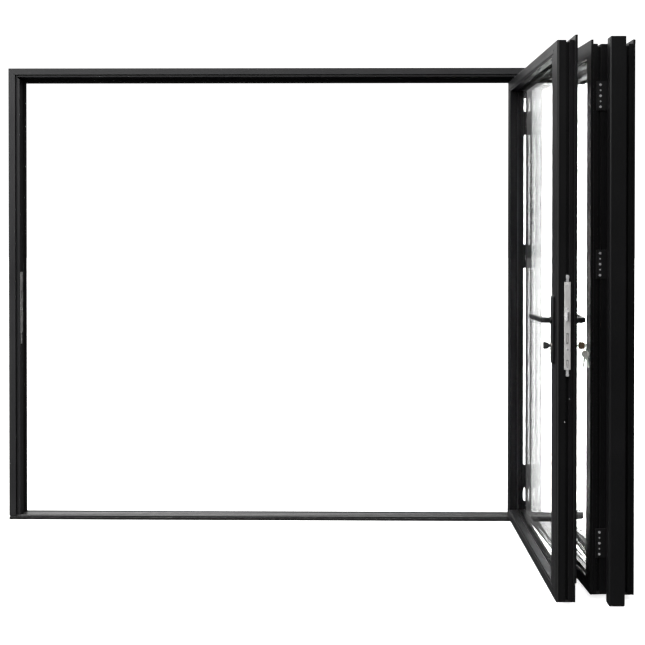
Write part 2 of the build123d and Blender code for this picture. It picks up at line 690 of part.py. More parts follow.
def lock_room():
    """What is milled out of the lock stile for the case, spindle and cylinder."""
    side = CASE_WIDTH / 2 + CASE_GAP
    y = HARDWARE_GROOVE_AT
    foot = SPINDLE_HEIGHT - CASE_BELOW - CASE_GAP
    top = SPINDLE_HEIGHT + CASE_ABOVE + CASE_GAP
    room = box(-1, CASE_DEPTH + CASE_GAP, y - side, y + side, foot, top)
    room += cross_rod(BACKSET, SPINDLE_HEIGHT, -1, LEAF_DEPTH + 1, SPINDLE_BORE)
    return room + cylinder_profile(CYLINDER_GAP, -1, LEAF_DEPTH + 1)


def lock_case():
    """Lock case with the latch guide, spindle hole, cylinder hole and bolt mouths."""
    y = HARDWARE_GROOVE_AT
    half = CASE_WIDTH / 2
    case = box(0, CASE_DEPTH, y - half, y + half, SPINDLE_HEIGHT - CASE_BELOW, SPINDLE_HEIGHT + CASE_ABOVE)
    case -= latch_mouth(-1, LATCH_TAIL + LATCH_THROW + 1)
    case -= cross_rod(BACKSET, SPINDLE_HEIGHT, 0, LEAF_DEPTH, SPINDLE_BORE)
    case -= cylinder_profile(CYLINDER_GAP, 0, LEAF_DEPTH)
    for mouth in bolt_mouths(BOLT_MOUTH_DEPTH):
        case -= mouth
    return {"lock_case": case.moved(LEAD_PLACE)}


def lock_faceplate():
    """Steel faceplate with the latch and bolt openings."""
    y = HARDWARE_GROOVE_AT
    half = FACEPLATE_WIDTH / 2
    foot = SPINDLE_HEIGHT - FACEPLATE_BELOW
    top = SPINDLE_HEIGHT + FACEPLATE_ABOVE
    plate = box(-FACEPLATE_THICK, 0, y - half, y + half, foot, top)
    plate = chamfer(plate.edges().filter_by(Axis.Z).sort_by(Axis.X)[:2], FACEPLATE_CHAMFER)
    plate -= latch_mouth(-FACEPLATE_THICK - 1, 1)
    for mouth in bolt_mouths(BOLT_MOUTH_DEPTH):
        plate -= mouth
    return {"lock_faceplate": plate.moved(LEAD_PLACE)}


def latch():
    """Latch with its bevelled nose, thrown."""
    y = HARDWARE_GROOVE_AT
    half = LATCH_WIDTH / 2
    nose = -FACEPLATE_THICK - LATCH_THROW
    flat = -FACEPLATE_THICK - LATCH_SHOULDER
    outline = Polyline(
        (LATCH_TAIL, y - half), (LATCH_TAIL, y + half), (nose, y + half), (nose, y + half - LATCH_NOSE),
        (flat, y - half), close=True,
    )
    body = extrude(make_face(outline), LATCH_HEIGHT)
    return {"latch": body.moved(Location((0, 0, LATCH_MIDDLE - LATCH_HEIGHT / 2))).moved(LEAD_PLACE)}


def rod_end():
    """End of a locking rod, pointing up from height 0, in the groove of the stile."""
    half = ROD_WIDTH / 2
    head = ROD_HEAD_WIDTH / 2
    neck = ROD_LENGTH - ROD_HEAD_LENGTH
    bevel = ROD_HEAD_BEVEL
    plane = Plane((-FACEPLATE_THICK, HARDWARE_GROOVE_AT, 0), x_dir=(0, 1, 0), z_dir=(1, 0, 0))
    outline = Polyline(
        (-half, 0), (half, 0), (half, neck), (head, neck + bevel), (head, ROD_LENGTH - bevel),
        (head - bevel, ROD_LENGTH), (bevel - head, ROD_LENGTH), (-head, ROD_LENGTH - bevel),
        (-head, neck + bevel), (-half, neck), close=True,
    )
    return extrude(plane * make_face(outline), GROOVE_DEPTH / 2 + FACEPLATE_THICK)


def shoot_rods():
    """Ends of the locking rods, above and below the faceplate."""
    end = rod_end()
    above = end.moved(Location((0, 0, SPINDLE_HEIGHT + FACEPLATE_ABOVE)))
    below = end.mirror(Plane.XY).moved(Location((0, 0, SPINDLE_HEIGHT - FACEPLATE_BELOW)))
    return {"shoot_rod_top": above.moved(LEAD_PLACE), "shoot_rod_bottom": below.moved(LEAD_PLACE)}


def inside_face(shape):
    """Mirror a handle part drawn on the outside face to the inside face."""
    return shape.mirror(Plane.XZ).moved(Location((0, LEAF_DEPTH, 0)))


def backplate():
    """Narrow handle plate on the outside face."""
    half = BACKPLATE_WIDTH / 2
    foot = SPINDLE_HEIGHT - BACKPLATE_BELOW
    top = SPINDLE_HEIGHT + BACKPLATE_ABOVE
    plate = box(BACKSET - half, BACKSET + half, -BACKPLATE_THICK, 0, foot, top)
    plate = fillet(plate.edges().filter_by(Axis.Y), BACKPLATE_CORNER)
    plate = chamfer(plate.faces().sort_by(Axis.Y)[0].edges(), BACKPLATE_BEVEL)
    plate -= cross_rod(BACKSET, SPINDLE_HEIGHT, -BACKPLATE_THICK - 1, 1, SPINDLE_BORE)
    return plate - cylinder_profile(CYLINDER_GAP, -BACKPLATE_THICK - 1, 1)


def lever():
    """Lever on the outside face: a neck that turns into a grip that leans out towards its tip."""
    y0 = -BACKPLATE_THICK - LEVER_GAP
    half = LEVER_NECK_WIDTH / 2
    low = BACKSET - half
    high = BACKSET + half
    tip = BACKSET + LEVER_LENGTH
    turn_y = -LEVER_NECK_REACH
    tip_y = -LEVER_TIP_REACH
    outline = Polyline(
        (low, y0), (low, turn_y), (BACKSET, turn_y - LEVER_GRIP_THICK), (tip, tip_y - LEVER_GRIP_THICK),
        (tip, tip_y), (high, turn_y), (high, y0), close=True,
    )
    body = extrude(make_face(outline), LEVER_GRIP_HEIGHT)
    upright = body.edges().filter_by(Axis.Z)
    body = fillet(upright.sort_by(Axis.Y)[:4], LEVER_GRIP_THICK / 2 - 1)
    rims = body.faces().filter_by(Axis.Z)
    body = chamfer(rims.edges(), LEVER_BEVEL)
    body = body.moved(Location((0, 0, SPINDLE_HEIGHT - LEVER_GRIP_HEIGHT / 2)))
    body += cross_rod(BACKSET, SPINDLE_HEIGHT, y0 - LEVER_COLLAR_THICK, y0, LEVER_COLLAR_RADIUS)
    return body - spindle_bar(y0 - SPINDLE_ENTRY)


def spindle_bar(y0):
    """Square bar on the spindle axis, from a depth on the outside to the same on the inside."""
    half = SPINDLE_SIZE / 2
    z = SPINDLE_HEIGHT
    return box(BACKSET - half, BACKSET + half, y0, LEAF_DEPTH - y0, z - half, z + half)


def handles():
    """Both handle plates, both levers and the spindle that joins them."""
    spindle = spindle_bar(-BACKPLATE_THICK - LEVER_GAP - SPINDLE_ENTRY)
    return {
        "backplate_outside": backplate().moved(LEAD_PLACE),
        "backplate_inside": inside_face(backplate()).moved(LEAD_PLACE),
        "lever_outside": lever().moved(LEAD_PLACE),
        "lever_inside": inside_face(lever()).moved(LEAD_PLACE),
        "spindle": spindle.moved(LEAD_PLACE),
    }


def profile_cylinder():
    """Profile cylinder through the stile, with a keyway outside and a plug seat inside."""
    proud = BACKPLATE_THICK + CYLINDER_PROUD
    z = CYLINDER_HEIGHT
    wide = KEY_THICK / 2 + CYLINDER_GAP
    tall = KEY_BLADE / 2 + CYLINDER_GAP
    body = cylinder_profile(0, -proud, LEAF_DEPTH + proud)
    body -= box(BACKSET - wide, BACKSET + wide, -proud - 1, PLUG_DEPTH - proud, z - tall, z + tall)
    body -= cross_rod(BACKSET, z, LEAF_DEPTH + proud - PLUG_DEPTH, LEAF_DEPTH + proud + 1, PLUG_RADIUS)
    return {"profile_cylinder": body.moved(LEAD_PLACE)}


def thumbturn():
    """Paddle-shaped thumbturn on a plug in the inside end of the cylinder."""
    face = LEAF_DEPTH + BACKPLATE_THICK + CYLINDER_PROUD
    radius = PLUG_RADIUS - CYLINDER_GAP
    tall = THUMBTURN_HALF_HEIGHT
    stem = cross_rod(0, 0, face - PLUG_DEPTH + CYLINDER_GAP, face + THUMBTURN_STEM, radius)
    plane = Plane((-THUMBTURN_THICK / 2, face, 0), x_dir=(0, 1, 0), z_dir=(1, 0, 0))
    outline = Polyline(
        (THUMBTURN_STEM - 1, -radius), (THUMBTURN_STEM - 1, radius), (tall, tall), (THUMBTURN_REACH, tall),
        (THUMBTURN_REACH, -tall), (tall, -tall), close=True,
    )
    paddle = extrude(plane * make_face(outline), THUMBTURN_THICK)
    paddle = chamfer(paddle.edges().filter_by(Axis.X).sort_by(Axis.Y)[-2:], radius / 2)
    paddle = chamfer(paddle.faces().filter_by(Axis.X).edges(), 1)
    knob = (stem + paddle).rotate(Axis.Y, THUMBTURN_ANGLE)
    return {"thumbturn": knob.moved(Location((BACKSET, 0, CYLINDER_HEIGHT))).moved(LEAD_PLACE)}


def key_shape(blade):
    """Key in the (y, z) plane, with the eye of its bow at the origin and its blade along +Y."""
    middle = KEY_BOW_LENGTH / 2 - KEY_EYE_INSET
    half = KEY_BLADE / 2
    plane = Plane((-KEY_THICK / 2, middle, 0), x_dir=(0, 1, 0), z_dir=(1, 0, 0))
    bow = extrude(plane * RectangleRounded(KEY_BOW_LENGTH, KEY_BOW_WIDTH, KEY_BOW_CORNER), KEY_THICK)
    end = KEY_BOW_LENGTH - KEY_EYE_INSET
    shank = box(-KEY_THICK / 2, KEY_THICK / 2, end - 1, end + blade, -half, half)
    shank = chamfer(shank.edges().filter_by(Axis.X).sort_by(Axis.Y)[-2:], half - 1)
    return bow + shank - Rot(0, 90, 0) * Cylinder(KEY_EYE_RADIUS, 2 * KEY_THICK)


def keys():
    """Key in the lock, and the ring with two more keys that hang from it."""
    proud = BACKPLATE_THICK + CYLINDER_PROUD
    eye_y = -proud - KEY_SHANK_SHOWN - KEY_BOW_LENGTH + KEY_EYE_INSET
    key = key_shape(KEY_SHANK_SHOWN + PLUG_DEPTH - CYLINDER_GAP)
    ring_z = CYLINDER_HEIGHT - KEY_EYE_RADIUS + RING_WIRE + RING_SLACK - RING_RADIUS
    ring_face = RegularPolygon(RING_RADIUS, RING_SIDES) - RegularPolygon(RING_RADIUS - RING_WIRE, RING_SIDES)
    ring_plane = Plane((BACKSET, eye_y + RING_WIRE / 2, ring_z), x_dir=(1, 0, 0), z_dir=(0, -1, 0))
    hang_z = ring_z - RING_RADIUS - RING_SLACK + KEY_EYE_RADIUS
    hanging = []
    for dx, lean in SPARE_KEYS:
        spare = key_shape(SPARE_BLADE_LENGTH).moved(Location((0, 0, 0), (lean - 90, 0, 0)))
        hanging.append(spare.moved(Location((BACKSET + dx, eye_y, hang_z))))
    return {
        "key_in_lock": key.moved(Location((BACKSET, eye_y, CYLINDER_HEIGHT))).moved(LEAD_PLACE),
        "key_ring": extrude(ring_plane * ring_face, RING_WIRE).moved(LEAD_PLACE),
        "hanging_keys": Compound(children=hanging).moved(LEAD_PLACE),
    }


def lock_keep():
    """Keep plate on the left jamb, in line with the faceplate when the lead leaf is shut."""
    x0 = JAMB_REBATE - FRAME_WIDTH / 2
    y = frame_y(HARDWARE_GROOVE_AT - FLANGE_THICK)
    half = KEEP_WIDTH / 2
    foot = SPINDLE_HEIGHT - KEEP_BELOW
    top = SPINDLE_HEIGHT + KEEP_ABOVE
    steps = 6
    pitch = (top - foot) / steps
    wave = []
    for i in range(steps):
        reach = half + KEEP_WAVE if i % 2 else half
        wave += [(reach, foot + i * pitch + KEEP_WAVE), (reach, foot + (i + 1) * pitch - KEEP_WAVE)]
    outline = Polyline((-half, foot), (half, foot), *wave, (half, top), (-half, top), close=True)
    plane = Plane((x0, y, 0), x_dir=(0, 1, 0), z_dir=(1, 0, 0))
    plate = extrude(plane * make_face(outline), KEEP_THICK)
    tongue = KEEP_TONGUE_WIDTH / 2
    plate += box(x0, x0 + KEEP_THICK / 2, y - tongue, y + tongue, foot - KEEP_TONGUE_LENGTH, foot + 1)
    mouth = KEEP_MOUTH_WIDTH / 2
    rooms = [(LATCH_MIDDLE, LATCH_HEIGHT + 2 * KEEP_ROOM)]
    rooms.append((SPINDLE_HEIGHT - BOLT_SLOTS[0][0], BOLT_SLOTS[0][1]))
    for middle, height in rooms:
        plate -= box(
            x0 - 1, x0 + KEEP_THICK + 1, y - mouth, y + mouth, middle - height / 2, middle + height / 2
        )
    return {"lock_keep": plate}


def build():
    """All nodes of the door."""
    nodes = {}
    for make in (outer_frame, head_track, frame_seals):
        nodes.update(make())
    nodes.update(place_leaf("lead", LEAD_WIDTH, LOCK_STILE_FACE, STILE_FACE, LEAD_PLACE, FLANGE_OVERLAP))
    nodes.update(place_leaf("middle", MIDDLE_WIDTH, STILE_FACE, STILE_FACE, MIDDLE_PLACE))
    nodes.update(place_leaf("jamb_leaf", JAMB_LEAF_WIDTH, LOCK_STILE_FACE, STILE_FACE, JAMB_PLACE))
    nodes["lead_stile_near"] -= lock_room().moved(LEAD_PLACE)
    for make in (
        interlock, jamb_hinges, fold_hinges, lead_hinges, top_carriage, bottom_guide, lock_case,
        lock_faceplate, latch, shoot_rods, handles, profile_cylinder, thumbturn, keys, lock_keep,
    ):
        nodes.update(make())
    return nodes


def export(nodes):
    """Write every node to its own file."""
    os.makedirs("parts", exist_ok=True)
    for name, shape in nodes.items():
        export_step(shape, f"parts/{name}.step")


if __name__ == "__main__":
    export(build())
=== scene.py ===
"""Finishes, fittings, camera and light for the folded patio door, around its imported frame.

The sizes of the door's pieces are in millimetres. Meshes, shaders, camera and studio are in metres.
"""
import logging
import math
from collections.abc import Iterable, Sequence
from dataclasses import dataclass, field
from enum import Enum
from typing import ClassVar

import bmesh
import bpy
from mathutils import Euler, Matrix, Vector

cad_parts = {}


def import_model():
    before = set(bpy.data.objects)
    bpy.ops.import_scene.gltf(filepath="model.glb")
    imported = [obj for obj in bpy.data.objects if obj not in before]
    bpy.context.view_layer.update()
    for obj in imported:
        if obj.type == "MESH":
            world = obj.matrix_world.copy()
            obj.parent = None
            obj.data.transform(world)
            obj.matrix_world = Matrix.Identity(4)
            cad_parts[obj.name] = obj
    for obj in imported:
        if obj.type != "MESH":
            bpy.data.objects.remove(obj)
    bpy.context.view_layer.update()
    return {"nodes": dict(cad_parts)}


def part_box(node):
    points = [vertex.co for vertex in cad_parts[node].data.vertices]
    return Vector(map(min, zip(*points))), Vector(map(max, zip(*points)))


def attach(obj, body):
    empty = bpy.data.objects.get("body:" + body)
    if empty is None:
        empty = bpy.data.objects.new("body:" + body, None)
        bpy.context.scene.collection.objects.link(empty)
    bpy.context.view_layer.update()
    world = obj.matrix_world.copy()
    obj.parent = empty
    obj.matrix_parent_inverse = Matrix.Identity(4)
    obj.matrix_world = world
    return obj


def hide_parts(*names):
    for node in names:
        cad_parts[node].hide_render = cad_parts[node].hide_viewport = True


LOG = logging.getLogger("patio_door")
MM = 0.001
WELD = 0.00001
FIXED_BODY = "door"
SPINDLE_HEIGHT = 1029.0
PLATE_SCREW = (3.4, 1.0)
WHITE = (1.0, 1.0, 1.0, 1.0)
Colour = tuple[float, float, float]
Span = tuple[float, float]
MIDDLE: Span = (0.3, 0.7)
Section = Sequence[Span]
Socket = bpy.types.NodeSocket
Node = bpy.types.Node
Tree = bpy.types.NodeTree
Material = bpy.types.Material
Piece = bpy.types.Object
Mesh = bmesh.types.BMesh


class Slot(Enum):
    """The material slots of the record that a piece can take its finish from."""

    FRAME = "frame_coat"
    LEAF = "leaf_coat"
    BEAD = "bead_coat"
    HINGE = "hinge_coat"
    HANDLE = "handle_coat"
    GLASS = "clear_glass"
    RUBBER = "seal_rubber"
    SILL = "sill_metal"
    TRACK = "track_metal"
    STEEL = "lock_steel"
    LATCH = "latch_steel"
    CASE = "case_steel"
    CYLINDER = "cylinder_nickel"
    KEY = "key_nickel"


class Leaf(Enum):
    """The three leaves, by the name that their nodes start with."""

    LEAD = "lead"
    MIDDLE = "middle"
    JAMB = "jamb_leaf"


@dataclass
class Wiring:
    """A shader tree that is being wired, with short calls for the nodes that finishes use."""

    tree: Tree

    def node(self, kind: str, **settings: object) -> Node:
        """Add a node.

        Args:
            kind: Blender's name of the node type.
            settings: Properties to set on the node.

        Returns:
            The new node.
        """
        node = self.tree.nodes.new(kind)
        for key, value in settings.items():
            setattr(node, key, value)
        return node

    def feed(self, socket: Socket, value: object) -> None:
        """Link an output to a socket, or set the socket to a value.

        Args:
            socket: The socket.
            value: The output or the value.
        """
        if isinstance(value, Socket):
            self.tree.links.new(value, socket)
        else:
            socket.default_value = value

    def plug(self, node: Node, **inputs: object) -> None:
        """Set or link inputs of a node.

        Args:
            node: The node whose inputs are set.
            inputs: Input names, with _ for a space, and a value or an output socket for each.
        """
        for key, value in inputs.items():
            self.feed(node.inputs[key.replace("_", " ")], value)

    def here(self) -> Socket:
        """Return the object coordinates of the point that is shaded."""
        return self.node("ShaderNodeTexCoord").outputs["Object"]

    def split(self, vector: Socket) -> Node:
        """Split a vector.

        Args:
            vector: The vector.

        Returns:
            A node with its X, Y and Z as outputs.
        """
        node = self.node("ShaderNodeSeparateXYZ")
        self.plug(node, Vector=vector)
        return node

    def noise(self, vector: Socket, scale: object, detail: float = 2.0) -> Socket:
        """Add a noise texture.

        Args:
            vector: Where the texture is read.
            scale: Its scale, as a number or a socket.
            detail: How many finer layers it has.

        Returns:
            The noise value, near 0.5.
        """
        node = self.node("ShaderNodeTexNoise")
        self.plug(node, Vector=vector, Scale=scale, Detail=detail)
        return node.outputs["Fac"]

    def spread(self, value: object, low: object, high: object, start: float = 0.0,
               end: float = 1.0) -> Socket:
        """Map a value to a clamped range, or mix two numbers by a mask.

        Args:
            value: The value or the mask.
            low: The result at the start.
            high: The result at the end.
            start: Where the range starts.
            end: Where the range ends.

        Returns:
            The mapped value.
        """
        node = self.node("ShaderNodeMapRange")
        self.plug(node, Value=value, From_Min=start, From_Max=end, To_Min=low, To_Max=high)
        return node.outputs["Result"]

    def calc(self, operation: str, first: object, second: object, clamp: bool = True) -> Socket:
        """Do one sum on two values.

        Args:
            operation: Blender's name of the sum.
            first: The first value.
            second: The second value.
            clamp: Whether the result is kept from 0 to 1.

        Returns:
            The result.
        """
        node = self.node("ShaderNodeMath", operation=operation, use_clamp=clamp)
        self.feed(node.inputs[0], first)
        self.feed(node.inputs[1], second)
        return node.outputs["Value"]

    def blend(self, factor: object, first: object, second: object) -> Socket:
        """Mix two colours by a mask.

        Args:
            factor: The mask.
            first: The colour at 0, as a colour or a socket.
            second: The colour at 1, as a colour or a socket.

        Returns:
            The mixed colour.
        """
        node = self.node("ShaderNodeMix", data_type="RGBA")
        self.plug(node, Factor=factor)
        ends = [socket for socket in node.inputs if socket.type == "RGBA"]
        for socket, colour in zip(ends, (first, second)):
            self.feed(socket, colour if isinstance(colour, Socket) else (*colour, 1.0))
        return next(socket for socket in node.outputs if socket.type == "RGBA")

    def relief(self, height: Socket, distance: float, strength: float,
               normal: Socket | None = None) -> Socket:
        """Turn a height into a surface normal.

        Args:
            height: The height, from 0 to 1.
            distance: How high 1 is, in metres.
            strength: How much of it shows.
            normal: A normal that the relief is laid over.

        Returns:
            The new normal.
        """
        node = self.node("ShaderNodeBump")
        self.plug(node, Height=height, Distance=distance, Strength=strength)
        if normal is not None:
            self.plug(node, Normal=normal)
        return node.outputs["Normal"]


class Effect(Enum):
    """The shader groups that more than one finish uses."""

    GRAIN = "coat_grain"
    EDGE = "edge_wear"
    DUST = "settled_dust"
    LINES = "brushed_lines"


class EffectLibrary:
    """Builds each shared shader group once and places it in materials."""

    def __init__(self) -> None:
        """Build the four groups."""
        self.groups = {
            Effect.GRAIN: self._grain(),
            Effect.EDGE: self._edge(),
            Effect.DUST: self._dust(),
            Effect.LINES: self._lines(),
        }

    @staticmethod
    def _start(effect: Effect, inputs: dict[str, float], *outputs: str) -> tuple[Wiring, dict, Node]:
        """Make an empty group with its sockets.

        Args:
            effect: Which group it is.
            inputs: Names and defaults of its number inputs.
            outputs: Names of its outputs, which are numbers apart from Normal.

        Returns:
            The wiring, the input sockets by name and the output node.
        """
        tree = bpy.data.node_groups.new(effect.value, "ShaderNodeTree")
        for name, value in inputs.items():
            socket = tree.interface.new_socket(name=name, in_out="INPUT", socket_type="NodeSocketFloat")
            socket.default_value = value
        for name in outputs:
            kind = "NodeSocketVector" if name == "Normal" else "NodeSocketFloat"
            tree.interface.new_socket(name=name, in_out="OUTPUT", socket_type=kind)
        wiring = Wiring(tree)
        entry = wiring.node("NodeGroupInput")
        return wiring, {name: entry.outputs[name] for name in inputs}, wiring.node("NodeGroupOutput")

    def _grain(self) -> Tree:
        """Fine orange peel of a sprayed coat, with broad drifts of gloss.

        Returns:
            The group.
        """
        inputs = {"Scale": 900.0, "Gloss Low": 0.35, "Gloss High": 0.5}
        wiring, given, out = self._start(Effect.GRAIN, inputs, "Height", "Roughness", "Tone")
        place = wiring.here()
        fine = wiring.noise(place, given["Scale"], detail=1.5)
        broad = wiring.noise(place, scale=5.0, detail=4.0)
        wiring.plug(out, Height=fine, Tone=broad)
        wiring.plug(out, Roughness=wiring.spread(broad, given["Gloss Low"], given["Gloss High"], *MIDDLE))
        return wiring.tree

    def _edge(self) -> Tree:
        """Rounded edges, and a broken mask along them where a coat thins.

        Returns:
            The group.
        """
        wiring, given, out = self._start(Effect.EDGE, {"Radius": 0.001, "Amount": 0.5}, "Mask", "Normal")
        bevel = wiring.node("ShaderNodeBevel", samples=4)
        wiring.plug(bevel, Radius=given["Radius"])
        geometry = wiring.node("ShaderNodeNewGeometry")
        dot = wiring.node("ShaderNodeVectorMath", operation="DOT_PRODUCT")
        wiring.feed(dot.inputs[0], bevel.outputs["Normal"])
        wiring.feed(dot.inputs[1], geometry.outputs["Normal"])
        rounded = wiring.spread(dot.outputs["Value"], 1.0, 0.0, start=0.75, end=0.97)
        patches = wiring.noise(wiring.here(), scale=140.0, detail=3.0)
        broken = wiring.spread(patches, 0.0, 1.0, start=0.42, end=0.62)
        mask = wiring.calc("MULTIPLY", wiring.calc("MULTIPLY", rounded, broken), given["Amount"])
        wiring.plug(out, Mask=mask, Normal=bevel.outputs["Normal"])
        return wiring.tree

    def _dust(self) -> Tree:
        """Thin dust on what faces up.

        Returns:
            The group.
        """
        wiring, given, out = self._start(Effect.DUST, {"Amount": 0.2}, "Mask")
        axes = wiring.split(wiring.node("ShaderNodeNewGeometry").outputs["Normal"]).outputs
        upward = wiring.spread(axes["Z"], 0.0, 1.0, start=0.4, end=0.95)
        patches = wiring.spread(wiring.noise(wiring.here(), scale=22.0, detail=5.0), 0.15, 1.0, *MIDDLE)
        mask = wiring.calc("MULTIPLY", wiring.calc("MULTIPLY", upward, patches), given["Amount"])
        wiring.plug(out, Mask=mask)
        return wiring.tree

    def _lines(self) -> Tree:
        """Fine lines that run up a brushed or drawn metal.

        Returns:
            The group.
        """
        inputs = {"Stretch X": 1.0, "Stretch Y": 1.0, "Stretch Z": 0.02, "Scale": 2500.0}
        wiring, given, out = self._start(Effect.LINES, inputs, "Height", "Tone")
        stretch = wiring.node("ShaderNodeCombineXYZ")
        wiring.plug(stretch, X=given["Stretch X"], Y=given["Stretch Y"], Z=given["Stretch Z"])
        scaled = wiring.node("ShaderNodeVectorMath", operation="MULTIPLY")
        place = wiring.here()
        wiring.feed(scaled.inputs[0], place)
        wiring.feed(scaled.inputs[1], stretch.outputs["Vector"])
        fine = wiring.noise(scaled.outputs["Vector"], given["Scale"])
        broad = wiring.noise(place, scale=30.0, detail=3.0)
        drift = wiring.spread(broad, 0.7, 1.0, *MIDDLE)
        wiring.plug(out, Height=fine, Tone=wiring.calc("MULTIPLY", fine, drift))
        return wiring.tree

    def place(self, wiring: Wiring, effect: Effect, **inputs: float) -> Node:
        """Place a group in a material.

        Args:
            wiring: The material's wiring.
            effect: Which group.
            inputs: Its values, with _ for a space.

        Returns:
            The group node.
        """
        node = wiring.node("ShaderNodeGroup", node_tree=self.groups[effect])
        wiring.plug(node, **inputs)
        return node


def new_material(name: str) -> tuple[Material, Wiring, Node]:
    """Make a material with one shader.

    Args:
        name: Its name.

    Returns:
        The material, its wiring and its shader.
    """
    material = bpy.data.materials.new(name)
    material.use_nodes = True
    return material, Wiring(material.node_tree), material.node_tree.nodes["Principled BSDF"]


@dataclass(frozen=True)
class PowderCoat:
    """Sprayed and baked satin coat on aluminium."""

    name: str
    tint: Colour
    pale: Colour
    gloss: Span = (0.34, 0.46)
    specular: float = 0.35
    edge_radius: float = 0.0012
    wear: float = 0.3
    worn: Colour = (0.09, 0.09, 0.092)
    dust: float = 0.06

    def material(self, effects: EffectLibrary) -> Material:
        """Build the coat's material.

        Args:
            effects: The shared shader groups.

        Returns:
            The material.
        """
        material, wiring, shader = new_material(self.name)
        grain = effects.place(wiring, Effect.GRAIN, Gloss_Low=self.gloss[0], Gloss_High=self.gloss[1])
        edge = effects.place(wiring, Effect.EDGE, Radius=self.edge_radius, Amount=self.wear)
        dust = effects.place(wiring, Effect.DUST, Amount=self.dust)
        coat = wiring.blend(grain.outputs["Tone"], self.tint, self.pale)
        marked = wiring.calc("MAXIMUM", edge.outputs["Mask"], dust.outputs["Mask"])
        wiring.plug(shader, Base_Color=wiring.blend(marked, coat, self.worn))
        wiring.plug(shader, Roughness=grain.outputs["Roughness"], Specular_IOR_Level=self.specular)
        height = grain.outputs["Height"]
        peel = wiring.relief(height, distance=0.00004, strength=0.5, normal=edge.outputs["Normal"])
        wiring.plug(shader, Normal=peel)
        return material


@dataclass(frozen=True)
class BareMetal:
    """Brushed, drawn or plated metal with fine lines along it."""

    name: str
    tint: Colour
    dull: Colour
    rough: Span = (0.28, 0.42)
    line_z: float = 0.02
    line_x: float = 1.0
    edge_radius: float = 0.0006
    wear: float = 0.35
    bright: Colour = (0.8, 0.8, 0.79)
    metallic: float = 1.0

    def material(self, effects: EffectLibrary) -> Material:
        """Build the metal's material.

        Args:
            effects: The shared shader groups.

        Returns:
            The material.
        """
        material, wiring, shader = new_material(self.name)
        lines = effects.place(wiring, Effect.LINES, Stretch_X=self.line_x, Stretch_Z=self.line_z)
        edge = effects.place(wiring, Effect.EDGE, Radius=self.edge_radius, Amount=self.wear)
        tone = wiring.spread(lines.outputs["Tone"], 0.0, 1.0, start=0.25, end=0.6)
        base = wiring.blend(tone, self.dull, self.tint)
        wiring.plug(shader, Base_Color=wiring.blend(edge.outputs["Mask"], base, self.bright))
        height = lines.outputs["Height"]
        brushed = wiring.relief(height, distance=0.00002, strength=0.35, normal=edge.outputs["Normal"])
        rough = wiring.spread(height, *self.rough, *MIDDLE)
        wiring.plug(shader, Metallic=self.metallic, Roughness=rough, Normal=brushed)
        return material


@dataclass(frozen=True)
class MouldedPolymer:
    """Rubber of a seal, or hard plastic of a cap or key bow."""

    name: str
    tint: Colour
    pale: Colour
    gloss: Span = (0.55, 0.75)
    scale: float = 1400.0
    specular: float = 0.3
    dust: float = 0.1

    def material(self, effects: EffectLibrary) -> Material:
        """Build the polymer's material.

        Args:
            effects: The shared shader groups.

        Returns:
            The material.
        """
        material, wiring, shader = new_material(self.name)
        low, high = self.gloss
        grain = effects.place(wiring, Effect.GRAIN, Scale=self.scale, Gloss_Low=low, Gloss_High=high)
        dust = effects.place(wiring, Effect.DUST, Amount=self.dust)
        mask = wiring.calc("MAXIMUM", grain.outputs["Tone"], dust.outputs["Mask"])
        wiring.plug(shader, Base_Color=wiring.blend(mask, self.tint, self.pale))
        wiring.plug(shader, Roughness=grain.outputs["Roughness"], Specular_IOR_Level=self.specular)
        wiring.plug(shader, Normal=wiring.relief(grain.outputs["Height"], distance=0.00005, strength=0.4))
        return material


@dataclass(frozen=True)
class FloatGlass:
    """Clear float glass with faint smears and a slight roll in its surface."""

    name: str
    clear: Colour = (1.0, 1.0, 1.0)
    smeared: Colour = (0.985, 0.992, 0.988)
    index: float = 1.46

    def material(self, effects: EffectLibrary) -> Material:
        """Build the glass material.

        Args:
            effects: The shared shader groups.

        Returns:
            The material.
        """
        material, wiring, shader = new_material(self.name)
        grain = effects.place(wiring, Effect.GRAIN, Scale=3.0, Gloss_Low=0.0, Gloss_High=0.002)
        wiring.plug(shader, Base_Color=wiring.blend(grain.outputs["Tone"], self.clear, self.smeared))
        wiring.plug(shader, Roughness=grain.outputs["Roughness"], Metallic=0.0, Transmission_Weight=1.0)
        roll = wiring.relief(grain.outputs["Height"], distance=0.00001, strength=0.003)
        wiring.plug(shader, IOR=self.index, Normal=roll)
        return material


